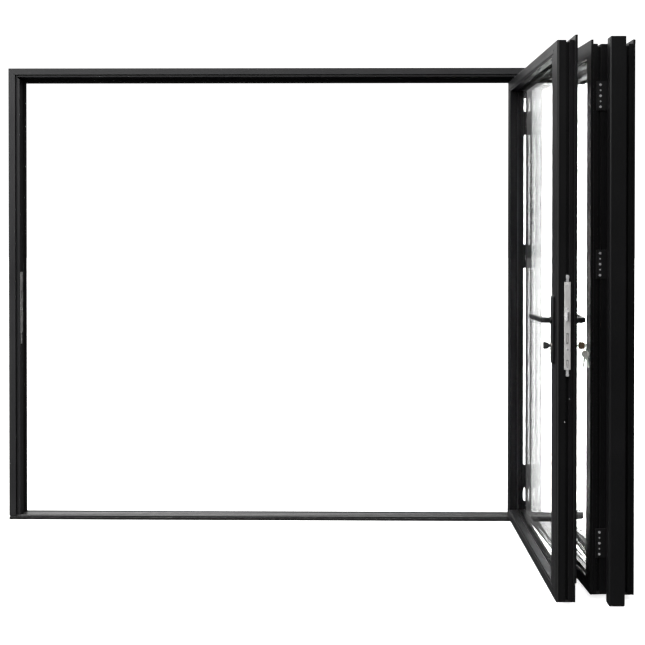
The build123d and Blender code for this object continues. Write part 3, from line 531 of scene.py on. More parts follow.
Finish = PowderCoat | BareMetal | MouldedPolymer | FloatGlass
FINISHES: dict[Slot, Finish] = {
    # Painted light: the frame's tint and pale colour are several times lighter than the leaves' coat. This
    # stands in for the brighter light that falls on the frame's front faces.
    Slot.FRAME: PowderCoat(
        "frame_powder_coat", (0.018, 0.018, 0.019), (0.026, 0.026, 0.027), specular=0.3, wear=0.1,
    ),
    Slot.LEAF: PowderCoat(
        "leaf_powder_coat", (0.0036, 0.0036, 0.0038), (0.0056, 0.0056, 0.0059), specular=0.12,
    ),
    Slot.BEAD: PowderCoat("bead_powder_coat", (0.004, 0.004, 0.0042), (0.0065, 0.0065, 0.007), specular=0.14),
    Slot.HINGE: PowderCoat(
        "hinge_powder_coat", (0.0035, 0.0035, 0.0037), (0.006, 0.006, 0.0063), (0.4, 0.52), specular=0.25,
    ),
    Slot.HANDLE: PowderCoat(
        "handle_powder_coat", (0.003, 0.003, 0.0032), (0.005, 0.005, 0.0052), (0.28, 0.4), specular=0.25,
    ),
    Slot.GLASS: FloatGlass("clear_float_glass"),
    Slot.RUBBER: MouldedPolymer("seal_rubber", (0.004, 0.004, 0.004), (0.008, 0.008, 0.008)),
    Slot.SILL: BareMetal(
        "sill_anodised", (0.06, 0.06, 0.06), (0.03, 0.03, 0.03),
        rough=(0.3, 0.45), line_z=1.0, line_x=0.02, metallic=0.8,
    ),
    Slot.TRACK: BareMetal("anodised_track", (0.10, 0.10, 0.10), (0.05, 0.05, 0.05), line_z=1.0, line_x=0.02),
    Slot.STEEL: BareMetal(
        "brushed_lock_steel", (0.80, 0.79, 0.77), (0.62, 0.61, 0.60), rough=(0.3, 0.45), metallic=0.65,
    ),
    Slot.LATCH: BareMetal(
        "plated_latch_steel", (0.86, 0.86, 0.87), (0.66, 0.66, 0.67), rough=(0.16, 0.3), metallic=0.7,
    ),
    Slot.CASE: BareMetal("zinc_case_steel", (0.35, 0.35, 0.36), (0.2, 0.2, 0.21), rough=(0.35, 0.5)),
    Slot.CYLINDER: BareMetal("satin_nickel", (0.5, 0.48, 0.44), (0.33, 0.32, 0.3), rough=(0.25, 0.38)),
    Slot.KEY: BareMetal(
        "nickel_silver", (0.86, 0.85, 0.8), (0.62, 0.6, 0.55), rough=(0.2, 0.34), metallic=0.55,
    ),
}
KEY_COVER = MouldedPolymer("key_cover_brown", (0.13, 0.085, 0.05), (0.22, 0.16, 0.10), gloss=(0.35, 0.5))


@dataclass
class Paint:
    """Materials made once each, and the CAD nodes that they go on."""

    effects: EffectLibrary
    nodes: dict[str, Piece]
    made: dict[str, Material] = field(default_factory=dict)

    def of(self, finish: Finish) -> Material:
        """Find the material of a finish, and make it at its first use.

        Args:
            finish: The finish.

        Returns:
            Its material.
        """
        if finish.name not in self.made:
            self.made[finish.name] = finish.material(self.effects)
        return self.made[finish.name]

    def coat(self, piece: Piece, material: Material) -> None:
        """Give a piece one material on all its faces."""
        piece.data.materials.clear()
        piece.data.materials.append(material)


def pull(mesh: Mesh, faces: Iterable[bmesh.types.BMFace], vec: Sequence[float]) -> list[bmesh.types.BMVert]:
    """Extrude faces and move the new ones.

    Args:
        mesh: The mesh.
        faces: Its faces to extrude.
        vec: How far the new faces move, in metres.

    Returns:
        The moved vertices.
    """
    pulled = bmesh.ops.extrude_face_region(mesh, geom=list(faces))
    moved = [part for part in pulled["geom"] if isinstance(part, bmesh.types.BMVert)]
    bmesh.ops.translate(mesh, verts=moved, vec=vec)
    return moved


def outline(points: Section, length: float) -> Mesh:
    """Draw a closed section in (x, y) and pull it up along z.

    Args:
        points: Corners of the section.
        length: Length.

    Returns:
        The closed mesh, in metres.
    """
    mesh = bmesh.new()
    corners = [mesh.verts.new((x * MM, y * MM, 0.0)) for x, y in points]
    pull(mesh, [mesh.faces.new(corners)], (0.0, 0.0, length * MM))
    bmesh.ops.recalc_face_normals(mesh, faces=mesh.faces)
    return mesh


def block(low: Sequence[float], high: Sequence[float], bevel: float, segments: int = 3) -> Mesh:
    """Make a block between two corners with rounded edges.

    Args:
        low: Lowest corner.
        high: Highest corner.
        bevel: Radius of its edges.
        segments: Flats in each rounded edge.

    Returns:
        The mesh, in metres.
    """
    mesh = bmesh.new()
    size = [(b - a) * MM for a, b in zip(low, high)]
    middle = [(a + b) / 2 * MM for a, b in zip(low, high)]
    bmesh.ops.create_cube(mesh, size=1.0)
    bmesh.ops.scale(mesh, vec=size, verts=mesh.verts)
    bmesh.ops.translate(mesh, vec=middle, verts=mesh.verts)
    round_edges(mesh, mesh.edges[:], bevel, segments)
    return mesh


def round_edges(mesh: Mesh, edges: Iterable[bmesh.types.BMEdge], radius: float, segments: int) -> None:
    """Bevel edges of a mesh.

    Args:
        mesh: The mesh.
        edges: Its edges to round.
        radius: Width of the bevel.
        segments: Flats in each bevel.
    """
    bmesh.ops.bevel(
        mesh, geom=list(edges), offset=radius * MM, offset_type="OFFSET", segments=segments, profile=0.5,
        affect="EDGES", material=-1, clamp_overlap=True,
    )


def screw_head(radius: float, height: float, sides: int = 20) -> Mesh:
    """Make a low screw head on z = 0 with a rounded rim and a socket.

    Args:
        radius: Radius.
        height: Height.
        sides: Flats round it.

    Returns:
        The mesh, in metres.
    """
    mesh = bmesh.new()
    disc = bmesh.ops.create_circle(mesh, cap_ends=True, segments=sides, radius=radius * MM)
    top = pull(mesh, disc["verts"][0].link_faces, (0.0, 0.0, height * MM))
    crown = next(face for face in mesh.faces if all(vert in top for vert in face.verts))
    round_edges(mesh, crown.edges, height * 0.5, 2)
    rim, wall, sunk = 0.38, 0.02, 0.55
    crown = max(mesh.faces, key=lambda face: face.calc_center_median().z * 1000 + face.calc_area())
    bmesh.ops.inset_individual(mesh, faces=[crown], thickness=radius * rim * MM)
    bmesh.ops.inset_individual(mesh, faces=[crown], thickness=radius * wall * MM, depth=-height * sunk * MM)
    bmesh.ops.recalc_face_normals(mesh, faces=mesh.faces)
    return mesh


def dome(radius: float, height: float, sides: int = 24, steps: int = 5) -> Mesh:
    """Spin a low domed cap that stands on z = 0.

    Args:
        radius: Radius.
        height: Height.
        sides: Steps round it.
        steps: Steps up its curve.

    Returns:
        The mesh, in metres.
    """
    mesh = bmesh.new()
    profile = [mesh.verts.new((0.0, 0.0, 0.0)), mesh.verts.new((radius * MM, 0.0, 0.0))]
    for step in range(1, steps + 1):
        angle = math.pi / 2 * step / steps
        profile.append(mesh.verts.new((radius * math.cos(angle) * MM, 0.0, height * math.sin(angle) * MM)))
    edges = [mesh.edges.new(pair) for pair in zip(profile, profile[1:])]
    bmesh.ops.spin(
        mesh, geom=profile + edges, cent=(0, 0, 0), axis=(0, 0, 1), dvec=(0, 0, 0), angle=math.tau,
        steps=sides, use_merge=True,
    )
    bmesh.ops.remove_doubles(mesh, verts=mesh.verts, dist=WELD)
    bmesh.ops.recalc_face_normals(mesh, faces=mesh.faces)
    return mesh


def lip_ring(low: tuple[float, float], high: tuple[float, float], width: float, depth0: float,
             depth1: float, bevel: float) -> Mesh:
    """Make a mitred ring round an upright opening, drawn in (x, z) with its depth along y.

    Args:
        low: Lower corner of its outer edge.
        high: Upper corner of its outer edge.
        width: Width of the ring.
        depth0: Depth of the face that it lies on.
        depth1: Depth of its free face.
        bevel: How far its inner free edge is rounded.

    Returns:
        The mesh, in metres.
    """
    mesh = bmesh.new()
    corners = ((low[0], low[1]), (high[0], low[1]), (high[0], high[1]), (low[0], high[1]))
    face = mesh.faces.new([mesh.verts.new((x * MM, depth0 * MM, z * MM)) for x, z in corners])
    bmesh.ops.inset_individual(mesh, faces=[face], thickness=width * MM)
    inner = set(face.verts)
    bmesh.ops.delete(mesh, geom=[face], context="FACES_ONLY")
    free = pull(mesh, mesh.faces, (0.0, (depth1 - depth0) * MM, 0.0))
    columns = {(round(vert.co.x, 6), round(vert.co.z, 6)) for vert in inner if vert.is_valid}
    rim = [
        edge for edge in mesh.edges
        if all(vert in free and (round(vert.co.x, 6), round(vert.co.z, 6)) in columns for vert in edge.verts)
    ]
    bmesh.ops.recalc_face_normals(mesh, faces=mesh.faces)
    round_edges(mesh, rim, bevel, 3)
    return mesh


@dataclass
class Fitting:
    """One new piece that is put together from smaller meshes."""

    name: str
    slot: Slot
    body: str = FIXED_BODY
    mesh: Mesh = field(default_factory=bmesh.new)

    def add(self, part: Mesh, places: Iterable[Matrix]) -> None:
        """Add copies of a mesh.

        Args:
            part: The mesh, which is freed afterwards.
            places: Where each copy goes.
        """
        for place in places:
            data = bpy.data.meshes.new(self.name)
            part.to_mesh(data)
            data.transform(place)
            self.mesh.from_mesh(data)
            bpy.data.meshes.remove(data)
        part.free()

    def finish(self, paint: Paint, material: Material | None = None, stands_for: Sequence[str] = (),
               smooth: float = 35.0) -> None:
        """Turn the mesh into an object that rides on its body.

        Args:
            paint: The materials.
            material: A material other than its slot's.
            stands_for: CAD nodes that it takes the place of.
            smooth: Largest angle, in degrees, that is shaded smooth.
        """
        data = bpy.data.meshes.new(self.name)
        self.mesh.to_mesh(data)
        self.mesh.free()
        data.shade_smooth()
        data.set_sharp_from_angle(angle=math.radians(smooth))
        piece = bpy.data.objects.new(self.name, data)
        bpy.context.collection.objects.link(piece)
        paint.coat(piece, material or paint.of(FINISHES[self.slot]))
        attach(piece, self.body)
        if stands_for:
            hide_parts(*stands_for)
        LOG.info("%s: %d faces on %s", self.name, len(data.polygons), self.body)


def at(x: float, y: float, z: float) -> Matrix:
    """Return a move to a place given in millimetres."""
    return Matrix.Translation(Vector((x, y, z)) * MM)


def turned(degrees: float, axis: str) -> Matrix:
    """Return a turn about an axis through the origin."""
    return Matrix.Rotation(math.radians(degrees), 4, axis)


def facing(direction: Sequence[float]) -> Matrix:
    """Return the turn that takes +Z to a direction."""
    return Vector((0, 0, 1)).rotation_difference(Vector(direction)).to_matrix().to_4x4()


@dataclass
class LeafPlace:
    """Where a leaf stands: its own frame has x from its low edge and y in from its outside face."""

    leaf: Leaf
    nodes: dict[str, Piece]
    tilt: float = 0.0
    depth: float = 70.0
    matrix: Matrix = field(init=False)
    width: float = field(init=False)
    bottom: float = field(init=False)
    top: float = field(init=False)

    def __post_init__(self) -> None:
        """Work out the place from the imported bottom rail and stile."""
        low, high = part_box(f"{self.leaf.value}_rail_bottom")
        self.bottom = low.z / MM
        self.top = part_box(f"{self.leaf.value}_stile_far")[1].z / MM
        if self.leaf is not Leaf.MIDDLE:
            self.width = (high.y - low.y) / MM
            self.matrix = Matrix.Translation((high.x, low.y, 0.0)) @ turned(90.0, "Z")
            return
        angle = math.radians(self.tilt)
        rise = (high.y - low.y) / MM - self.depth * math.sin(angle)
        self.width = rise / math.cos(angle)
        near = (high.x - self.depth * MM * math.cos(angle), low.y, 0.0)
        turn = Matrix.Rotation(angle - math.pi / 2, 4, "Z")
        self.matrix = Matrix.Translation(near) @ turn @ at(-self.width, 0.0, 0.0)

    def glass(self) -> tuple[Vector, Vector]:
        """Measure the glass in the leaf's frame.

        Returns:
            Its lowest and highest corner.
        """
        back = self.matrix.inverted()
        points = [back @ vert.co / MM for vert in self.nodes[f"{self.leaf.value}_glass"].data.vertices]
        low = Vector([min(point[i] for point in points) for i in range(3)])
        high = Vector([max(point[i] for point in points) for i in range(3)])
        return low, high

    def spot(self, x: float, y: float, z: float, direction: Sequence[float]) -> Matrix:
        """Return a place in the leaf's frame where +Z is turned to a direction."""
        return self.matrix @ at(x, y, z) @ facing(direction)


@dataclass
class Assembly:
    """A part of the door: the finishes of its CAD nodes, and the small pieces added to them."""

    paint: Paint
    coats: ClassVar[dict[Slot, Sequence[str]]] = {}

    def dress(self, prefix: str = "") -> None:
        """Coat the nodes that the class lists.

        Args:
            prefix: What stands before each listed name.
        """
        for slot, names in self.coats.items():
            for name in names:
                self.paint.coat(self.paint.nodes[prefix + name], self.paint.of(FINISHES[slot]))

    def fit(self, name: str, slot: Slot, *parts: tuple[Mesh, Iterable[Matrix]], **options: object) -> None:
        """Put one new piece on the fixed body.

        Args:
            name: Its name.
            slot: Its material slot.
            parts: Its meshes, each with the places of its copies.
            options: What else its finish takes.
        """
        fitting = Fitting(name, slot)
        for mesh, places in parts:
            fitting.add(mesh, places)
        fitting.finish(self.paint, **options)


@dataclass
class DoorLeaf(Assembly):
    """One glazed leaf: coated profiles, beads, glass, gasket lips and edge seals."""

    coats = {
        Slot.LEAF: ("stile_near", "stile_far", "rail_bottom", "rail_top"),
        Slot.BEAD: ("beads",),
        Slot.GLASS: ("glass",),
        Slot.RUBBER: ("glazing_seals",),
    }
    place: LeafPlace
    glass_cover: float = 17.0
    lip_width: float = 1.4
    lip_height: float = 2.0
    lip_round: float = 1.6
    seal_at: float = 64.0
    seal_end: float = 0.5
    seal_half: Section = ((5.5, 2.2), (0.4, 2.2), (0.1, 3.4), (-1.56, 3.2), (-2.6, 1.1))

    def gasket_lips(self) -> None:
        """Add the wedge of rubber that shows against the glass on each face."""
        low, high = self.place.glass()
        corner = (low.x + self.glass_cover, low.z + self.glass_cover)
        far = (high.x - self.glass_cover, high.z - self.glass_cover)
        rings = []
        for face, free in ((low.y, low.y - self.lip_height), (high.y, high.y + self.lip_height)):
            ring = lip_ring(corner, far, self.lip_width, face, free, self.lip_round)
            rings.append((ring, [self.place.matrix]))
        self.fit(f"{self.place.leaf.value}_gasket_lips", Slot.RUBBER, *rings)

    def edge_seals(self) -> None:
        """Add the bulb seals in the grooves of both stiles."""
        bulb = [(x, -y) for x, y in self.seal_half] + list(reversed(self.seal_half))
        opposite = [(self.place.width - x, y) for x, y in reversed(bulb)]
        height = self.place.top - self.place.bottom - 2 * self.seal_end
        foot = self.place.matrix @ at(0.0, self.seal_at, self.place.bottom + self.seal_end)
        seals = [(outline(section, height), [foot]) for section in (bulb, opposite)]
        self.fit(f"{self.place.leaf.value}_edge_seals", Slot.RUBBER, *seals)

    def build(self) -> None:
        """Dress the leaf and add its rubber."""
        self.dress(f"{self.place.leaf.value}_")
        self.gasket_lips()
        self.edge_seals()


@dataclass
class OuterFrame(Assembly):
    """Jambs, head, threshold and track, with a rubber strip on the threshold."""

    coats = {
        Slot.FRAME: ("frame_jamb_left", "frame_jamb_right", "frame_head"),
        Slot.SILL: ("frame_threshold",),
        Slot.TRACK: ("head_track",),
        Slot.RUBBER: ("frame_seals",),
    }
    rebate: float = 49.0
    strip_at: float = 58.0
    strip: Section = ((0.0, -3.0), (2.6, -3.0), (2.6, -1.2), (1.6, -0.2), (0.0, -0.2))

    def build(self) -> None:
        """Dress the frame and add the strip along the inner lip of the threshold."""
        self.dress()
        low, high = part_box("frame_threshold")
        length = (high.x - low.x) / MM - 2 * self.rebate
        place = at(-length / 2, low.y / MM + self.strip_at, high.z / MM)
        turn = turned(90.0, "Z") @ turned(90.0, "X")
        self.fit("threshold_strip", Slot.RUBBER, (outline(self.strip, length), [place @ turn]))


@dataclass
class Interlock(Assembly):
    """Interlock profile on the free edge of the jamb leaf, with a moulded cap at its foot."""

    coats = {Slot.LEAF: ("interlock_profile",)}
    cap: float = 3.0
    cap_depth: float = 26.0
    cap_inset: float = 1.0
    cap_round: float = 1.2

    def build(self) -> None:
        """Coat the profile and add its cap."""
        self.dress()
        low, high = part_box("interlock_profile")
        foot = low.z / MM
        edge = (low.x / MM + self.cap_inset, low.y / MM + self.cap_inset, foot - self.cap)
        far = (high.x / MM - self.cap_inset, low.y / MM + self.cap_depth, foot)
        self.fit("interlock_end_caps", Slot.RUBBER, (block(edge, far, self.cap_round), [Matrix.Identity(4)]))


@dataclass
class Hinges(Assembly):
    """Three hinges at each fold, with pin caps and plate screws, and the carriage and guide."""

    coats = {
        Slot.HINGE: ("jamb_hinges", "fold_hinges", "lead_hinges", "bottom_guide"),
        Slot.LATCH: ("top_carriage",),
    }
    lead: LeafPlace
    middle: LeafPlace
    jamb: LeafPlace
    from_bottom: float = 189.0
    middle_rise: float = 1019.0
    from_top: float = 190.0
    length: float = 105.0
    cap_radius: float = 7.6
    cap_height: float = 2.6
    plate: float = 3.0
    jamb_pin: float = 10.0
    fold_setback: float = 3.0
    screw_depth: float = 34.0
    leaf_row: float = 26.0
    jamb_row: float = 24.0
    large_screw: float = 4.6
    small_screw: float = 3.0
    screw_step: float = 20.0
    screw_height: float = 1.6

    def heights(self) -> list[float]:
        """Return the middle heights of the three hinges."""
        lowest = self.middle.bottom + self.from_bottom
        return [lowest, lowest + self.middle_rise, self.middle.top - self.from_top]

    def pins(self) -> list[tuple[float, float]]:
        """Find the pins of the three folds.

        Returns:
            The plan position of each pin.
        """
        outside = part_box("frame_head")[0].y / MM
        face = self.jamb.matrix.translation.x / MM
        corner = self.middle.matrix @ (Vector((self.middle.width, self.middle.depth, 0.0)) * MM) / MM
        near = self.jamb.matrix.translation.y / MM
        lead_x = (self.lead.matrix.translation.x + self.middle.matrix.translation.x) / 2 / MM
        return [
            (face + self.jamb_pin, outside - self.jamb_pin),
            ((corner.x + face - self.jamb.depth) / 2, near + self.fold_setback),
            (lead_x, outside),
        ]

    def caps(self) -> None:
        """Add a domed cap at both ends of each pin."""
        places = []
        for x, y in self.pins():
            for z in self.heights():
                places.append(at(x, y, z + self.length / 2))
                places.append(at(x, y, z - self.length / 2) @ turned(180.0, "X"))
        self.fit("hinge_pin_caps", Slot.HINGE, (dome(self.cap_radius, self.cap_height), places))

    def edge_screws(self) -> None:
        """Add the bright screws of the hinge plates on the near edge of the middle leaf."""
        rows: tuple[list[Matrix], list[Matrix]] = ([], [])
        out = self.middle.width + self.plate
        for z in self.heights():
            for step in range(-2, 3):
                place = self.middle.spot(out, self.screw_depth, z + step * self.screw_step, (1, 0, 0))
                rows[step % 2].append(place)
        heads = (screw_head(radius, self.screw_height) for radius in (self.large_screw, self.small_screw))
        self.fit("fold_hinge_screws", Slot.LATCH, *zip(heads, rows))

    def face_screws(self) -> None:
        """Add the dark screws of the plates on the faces of the leaves and on the jamb."""
        face = self.jamb.matrix.translation.x / MM
        near = self.jamb.matrix.translation.y / MM
        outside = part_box("frame_head")[0].y / MM - self.plate
        rows = (
            (face - self.jamb.depth - self.plate, near + self.leaf_row, (-1, 0, 0)),
            (face + self.plate, near + self.jamb.width - self.jamb_row, (1, 0, 0)),
            (face + self.plate + self.jamb_row, outside, (0, -1, 0)),
        )
        places = [
            at(x, y, z + step * self.screw_step) @ facing(direction)
            for z in self.heights() for step in (-2, 0, 2) for x, y, direction in rows
        ]
        self.fit("plate_screws", Slot.HINGE, (screw_head(self.large_screw, self.screw_height), places))

    def build(self) -> None:
        """Coat the hinges, carriage and guide, and add caps and screws."""
        self.dress()
        self.caps()
        self.edge_screws()
        self.face_screws()


@dataclass
class LockSet(Assembly):
    """Lock on the near edge of the lead leaf, with faceplate screws and hook bolts in their mouths."""

    coats = {
        Slot.CASE: ("lock_case",),
        Slot.STEEL: ("lock_faceplate",),
        Slot.LATCH: ("latch", "shoot_rod_top", "shoot_rod_bottom"),
    }
    lead: LeafPlace
    groove_at: float = 31.0
    plate_thick: float = 2.5
    screw_offsets: tuple[float, ...] = (129.0, 45.0, -101.0, -163.0)
    screw_size: Span = (3.8, 0.8)
    hook_drops: Section = ((62.0, 30.0), (151.0, 18.0))
    hook_set_back: float = 0.4
    hook_depth: float = 11.5
    hook_half: float = 2.4
    hook_round: float = 1.2
    edge_screws: Section = ((23.0, 751.0), (40.0, 668.0))
    edge_screw_size: Span = (1.8, 0.6)

    def screws(self) -> None:
        """Add the screws of the faceplate, and two small ones lower on the same edge."""
        places = [
            self.lead.spot(-self.plate_thick, self.groove_at, SPINDLE_HEIGHT + rise, (-1, 0, 0))
            for rise in self.screw_offsets
        ]
        self.fit("faceplate_screws", Slot.LATCH, (screw_head(*self.screw_size), places))
        ends = [self.lead.spot(0.0, depth, height, (-1, 0, 0)) for depth, height in self.edge_screws]
        self.fit("corner_screws", Slot.LATCH, (screw_head(*self.edge_screw_size), ends))

    def hooks(self) -> None:
        """Add the tips of the retracted hook bolts, just inside the faceplate."""
        tips = []
        for drop, tall in self.hook_drops:
            middle = SPINDLE_HEIGHT - drop
            low = (self.hook_set_back, self.groove_at - self.hook_half, middle - tall / 2)
            high = (self.hook_depth, self.groove_at + self.hook_half, middle + tall / 2)
            tips.append((block(low, high, self.hook_round), [self.lead.matrix]))
        self.fit("retracted_hooks", Slot.STEEL, *tips)

    def build(self) -> None:
        """Dress the lock and add its screws and hooks."""
        self.dress()
        self.screws()
        self.hooks()


@dataclass
class HandleSet(Assembly):
    """Plates, levers, cylinder and thumbturn on both faces of the lead leaf."""

    coats = {Slot.CASE: ("spindle",), Slot.CYLINDER: ("profile_cylinder",)}
    lead: LeafPlace
    backset: float = 35.0
    plate_thick: float = 9.0
    plate_screws: tuple[float, ...] = (74.0, -141.0)
    sharp: float = 28.0
    flat: float = 1.0

    def rounded(self, node: str, name: str, body: str, radius: float, segments: int = 2,
                smooth: float = 35.0) -> None:
        """Put a copy of a CAD node in its place, with its triangles merged and sharp edges rounded.

        Args:
            node: Name of the CAD node.
            name: Name of the new piece.
            body: The body that it rides on.
            radius: Radius of the edges.
            segments: Flats in each edge.
            smooth: Largest angle, in degrees, that is shaded smooth.
        """
        fitting = Fitting(name, Slot.HANDLE, body)
        mesh = fitting.mesh
        mesh.from_mesh(self.paint.nodes[node].data)
        bmesh.ops.remove_doubles(mesh, verts=mesh.verts, dist=WELD)
        flat, least = math.radians(self.flat), math.radians(self.sharp)
        bmesh.ops.dissolve_limit(mesh, angle_limit=flat, verts=mesh.verts, edges=mesh.edges)
        edges = [edge for edge in mesh.edges if edge.is_manifold and edge.calc_face_angle() > least]
        round_edges(mesh, edges, radius, segments)
        fitting.finish(self.paint, stands_for=[node], smooth=smooth)

    def build(self) -> None:
        """Replace the handle nodes by rounded ones and add the plate screws."""
        for side in ("outside", "inside"):
            self.rounded(f"backplate_{side}", f"handle_plate_{side}", FIXED_BODY, radius=0.8)
            self.rounded(f"lever_{side}", f"lever_grip_{side}", "lever_set", 1.0, segments=3, smooth=50.0)
        self.rounded("thumbturn", "thumbturn_paddle", "thumbturn_knob", radius=0.7)
        self.dress()
        inside = self.lead.depth + self.plate_thick
        places = [
            self.lead.spot(self.backset, inside, SPINDLE_HEIGHT + rise, (0, 1, 0))
            for rise in self.plate_screws
        ]
        self.fit("handle_plate_screws", Slot.HANDLE, (screw_head(*PLATE_SCREW), places))


@dataclass(frozen=True)
class Key:
    """One cut key: a rounded bow with an eye, and a blade with notches along one edge."""

    bow_length: float = 28.0
    bow_height: float = 24.0
    bow_steps: int = 24
    eye_inset: float = 5.0
    eye_radius: float = 2.6
    blade_length: float = 36.0
    blade_height: float = 7.8
    shank: float = 8.0
    overlap: float = 1.0
    thick: float = 2.2
    rim: float = 0.35
    notch: float = 1.6
    notches: int = 6
    notch_rim: float = 0.4

    def edge(self) -> list[tuple[float, float]]:
        """Draw the outline, from the eye at the origin to the tip along +X.

        Returns:
            Its corners, anticlockwise.
        """
        half = self.blade_height / 2
        start = self.bow_length - self.eye_inset
        tip = start + self.blade_length
        middle = start - self.bow_length / 2
        root = start - self.overlap
        points = [(root, -half), (tip - 3.0, -half), (tip, -0.8), (tip - 1.0, half - self.notch)]
        pitch = (self.blade_length - self.shank) / self.notches
        for step in range(self.notches):
            end = tip - 2.0 - step * pitch
            depth = self.notch * (1.0 + 0.5 * math.sin(2.4 * step))
            points += [(end - pitch * 0.35, half - depth), (end - pitch * 0.6, half - self.notch_rim)]
        points.append((root, half))
        for step in range(3, self.bow_steps - 2):
            angle = math.tau * step / self.bow_steps
            bulge = (abs(math.cos(angle)) ** 1.4, abs(math.sin(angle)) ** 0.8)
            x = middle + math.copysign(self.bow_length / 2 * bulge[0], math.cos(angle))
            points.append((x, math.copysign(self.bow_height / 2 * bulge[1], math.sin(angle))))
        return points

    def mesh(self) -> Mesh:
        """Make the key flat in (x, y), with its eye at the origin.

        Returns:
            The mesh.
        """
        mesh = outline(self.edge(), self.thick)
        bmesh.ops.translate(mesh, verts=mesh.verts, vec=(0.0, 0.0, -self.thick / 2 * MM))
        rims = [edge for edge in mesh.edges if abs(edge.verts[0].co.z - edge.verts[1].co.z) < WELD]
        round_edges(mesh, rims, self.rim, 1)
        return mesh


@dataclass
class KeyBunch(Assembly):
    """Key in the lock with its moulded cover, and the two spare keys on the ring."""

    coats = {Slot.KEY: ("key_ring",)}
    cover_wall: float = 1.6
    cover_rise: float = 0.6
    cover_length: float = 22.0
    cover_round: float = 3.0
    cover_back: float = 1.0
    spares: Section = ((-1.6, 12.0), (1.6, -4.0))
    hang_slack: float = 1.6

    def build(self) -> None:
        """Replace the keys by cut ones and add the cover over the bow of the one in the lock."""
        self.dress()
        low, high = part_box("key_in_lock")
        ring_low, ring_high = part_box("key_ring")
        key = Key()
        out = Vector((high.x / MM - key.eye_inset, (low.y + high.y) / 2 / MM, (low.z + high.z) / 2 / MM))
        upright = turned(90.0, "X")
        shown = Key(blade_length=high.x / MM - low.x / MM - key.bow_length)
        lock = at(*out) @ turned(180.0, "Z") @ upright
        self.fit("cut_key_in_lock", Slot.KEY, (shown.mesh(), [lock]), stands_for=["key_in_lock"])
        eye = Vector(((ring_low.x + ring_high.x) / 2, 0.0, ring_low.z)) / MM
        hung = []
        for offset, lean in self.spares:
            place = at(eye.x, out.y + offset, eye.z - self.hang_slack + key.eye_radius)
            hung.append((key.mesh(), [place @ turned(90.0 - lean, "Y") @ upright]))
        self.fit("cut_spare_keys", Slot.KEY, *hung, stands_for=["hanging_keys"])
        near = out.x - key.bow_length + key.eye_inset - self.cover_back
        corner = (near, low.y / MM - self.cover_wall, low.z / MM - self.cover_rise)
        far = (near + self.cover_length, high.y / MM + self.cover_wall, high.z / MM + self.cover_rise)
        cover = block(corner, far, self.cover_round, 4)
        self.fit("key_cover", Slot.KEY, (cover, [Matrix.Identity(4)]), material=self.paint.of(KEY_COVER))


@dataclass
class Keep(Assembly):
    """Keep plate on the left jamb, with its screws."""

    coats = {Slot.STEEL: ("lock_keep",)}
    thick: float = 3.0
    screw_depth: float = 10.0
    high_screws: tuple[float, ...] = (318.0, 165.0)
    low_screws: tuple[float, ...] = (46.0, 14.0)

    def build(self) -> None:
        """Dress the keep and add its screws."""
        self.dress()
        low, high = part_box("lock_keep")
        rows = ((high.x / MM, self.high_screws), (low.x / MM + self.thick / 2, self.low_screws))
        places = [
            at(out, low.y / MM + self.screw_depth, low.z / MM + rise) @ facing((1, 0, 0))
            for out, rises in rows for rise in rises
        ]
        self.fit("keep_screws", Slot.LATCH, (screw_head(*PLATE_SCREW), places))


@dataclass(frozen=True)
class CameraRig:
    """Where the photographer stood and how the picture is framed, in metres."""

    left_edge: float = -1.340
    outside_y: float = -0.035
    across: float = 1.5574
    back: float = 3.6685
    height: float = 1.3694
    lens: float = 44.198
    sensor: float = 36.0
    shift_x: float = -0.0212
    shift_y: float = -0.1420
    yaw: float = 0.0093
    pitch: float = -0.0064
    roll: float = -0.0005

    def build(self) -> None:
        """Make the camera and set it as the scene's camera."""
        data = bpy.data.cameras.new("camera")
        data.lens = self.lens
        data.sensor_width = self.sensor
        data.shift_x = self.shift_x
        data.shift_y = self.shift_y
        camera = bpy.data.objects.new("camera", data)
        camera.location = (self.left_edge + self.across, self.outside_y - self.back, self.height)
        camera.rotation_euler = Euler((math.pi / 2 + self.pitch, self.roll, self.yaw), "XYZ")
        bpy.context.collection.objects.link(camera)
        bpy.context.scene.camera = camera


@dataclass(frozen=True)
class Lamp:
    """One very wide soft light, placed by its angle from overhead and its turn round the upright."""

    name: str
    energy: float
    tilt: float
    turn: float
    width: float = 55.0

    def build(self) -> None:
        """Make the lamp."""
        data = bpy.data.lights.new(self.name, "SUN")
        data.energy = self.energy
        data.angle = math.radians(self.width)
        lamp = bpy.data.objects.new(self.name, data)
        lamp.rotation_euler = (math.radians(self.tilt), 0.0, math.radians(self.turn))
        bpy.context.collection.objects.link(lamp)


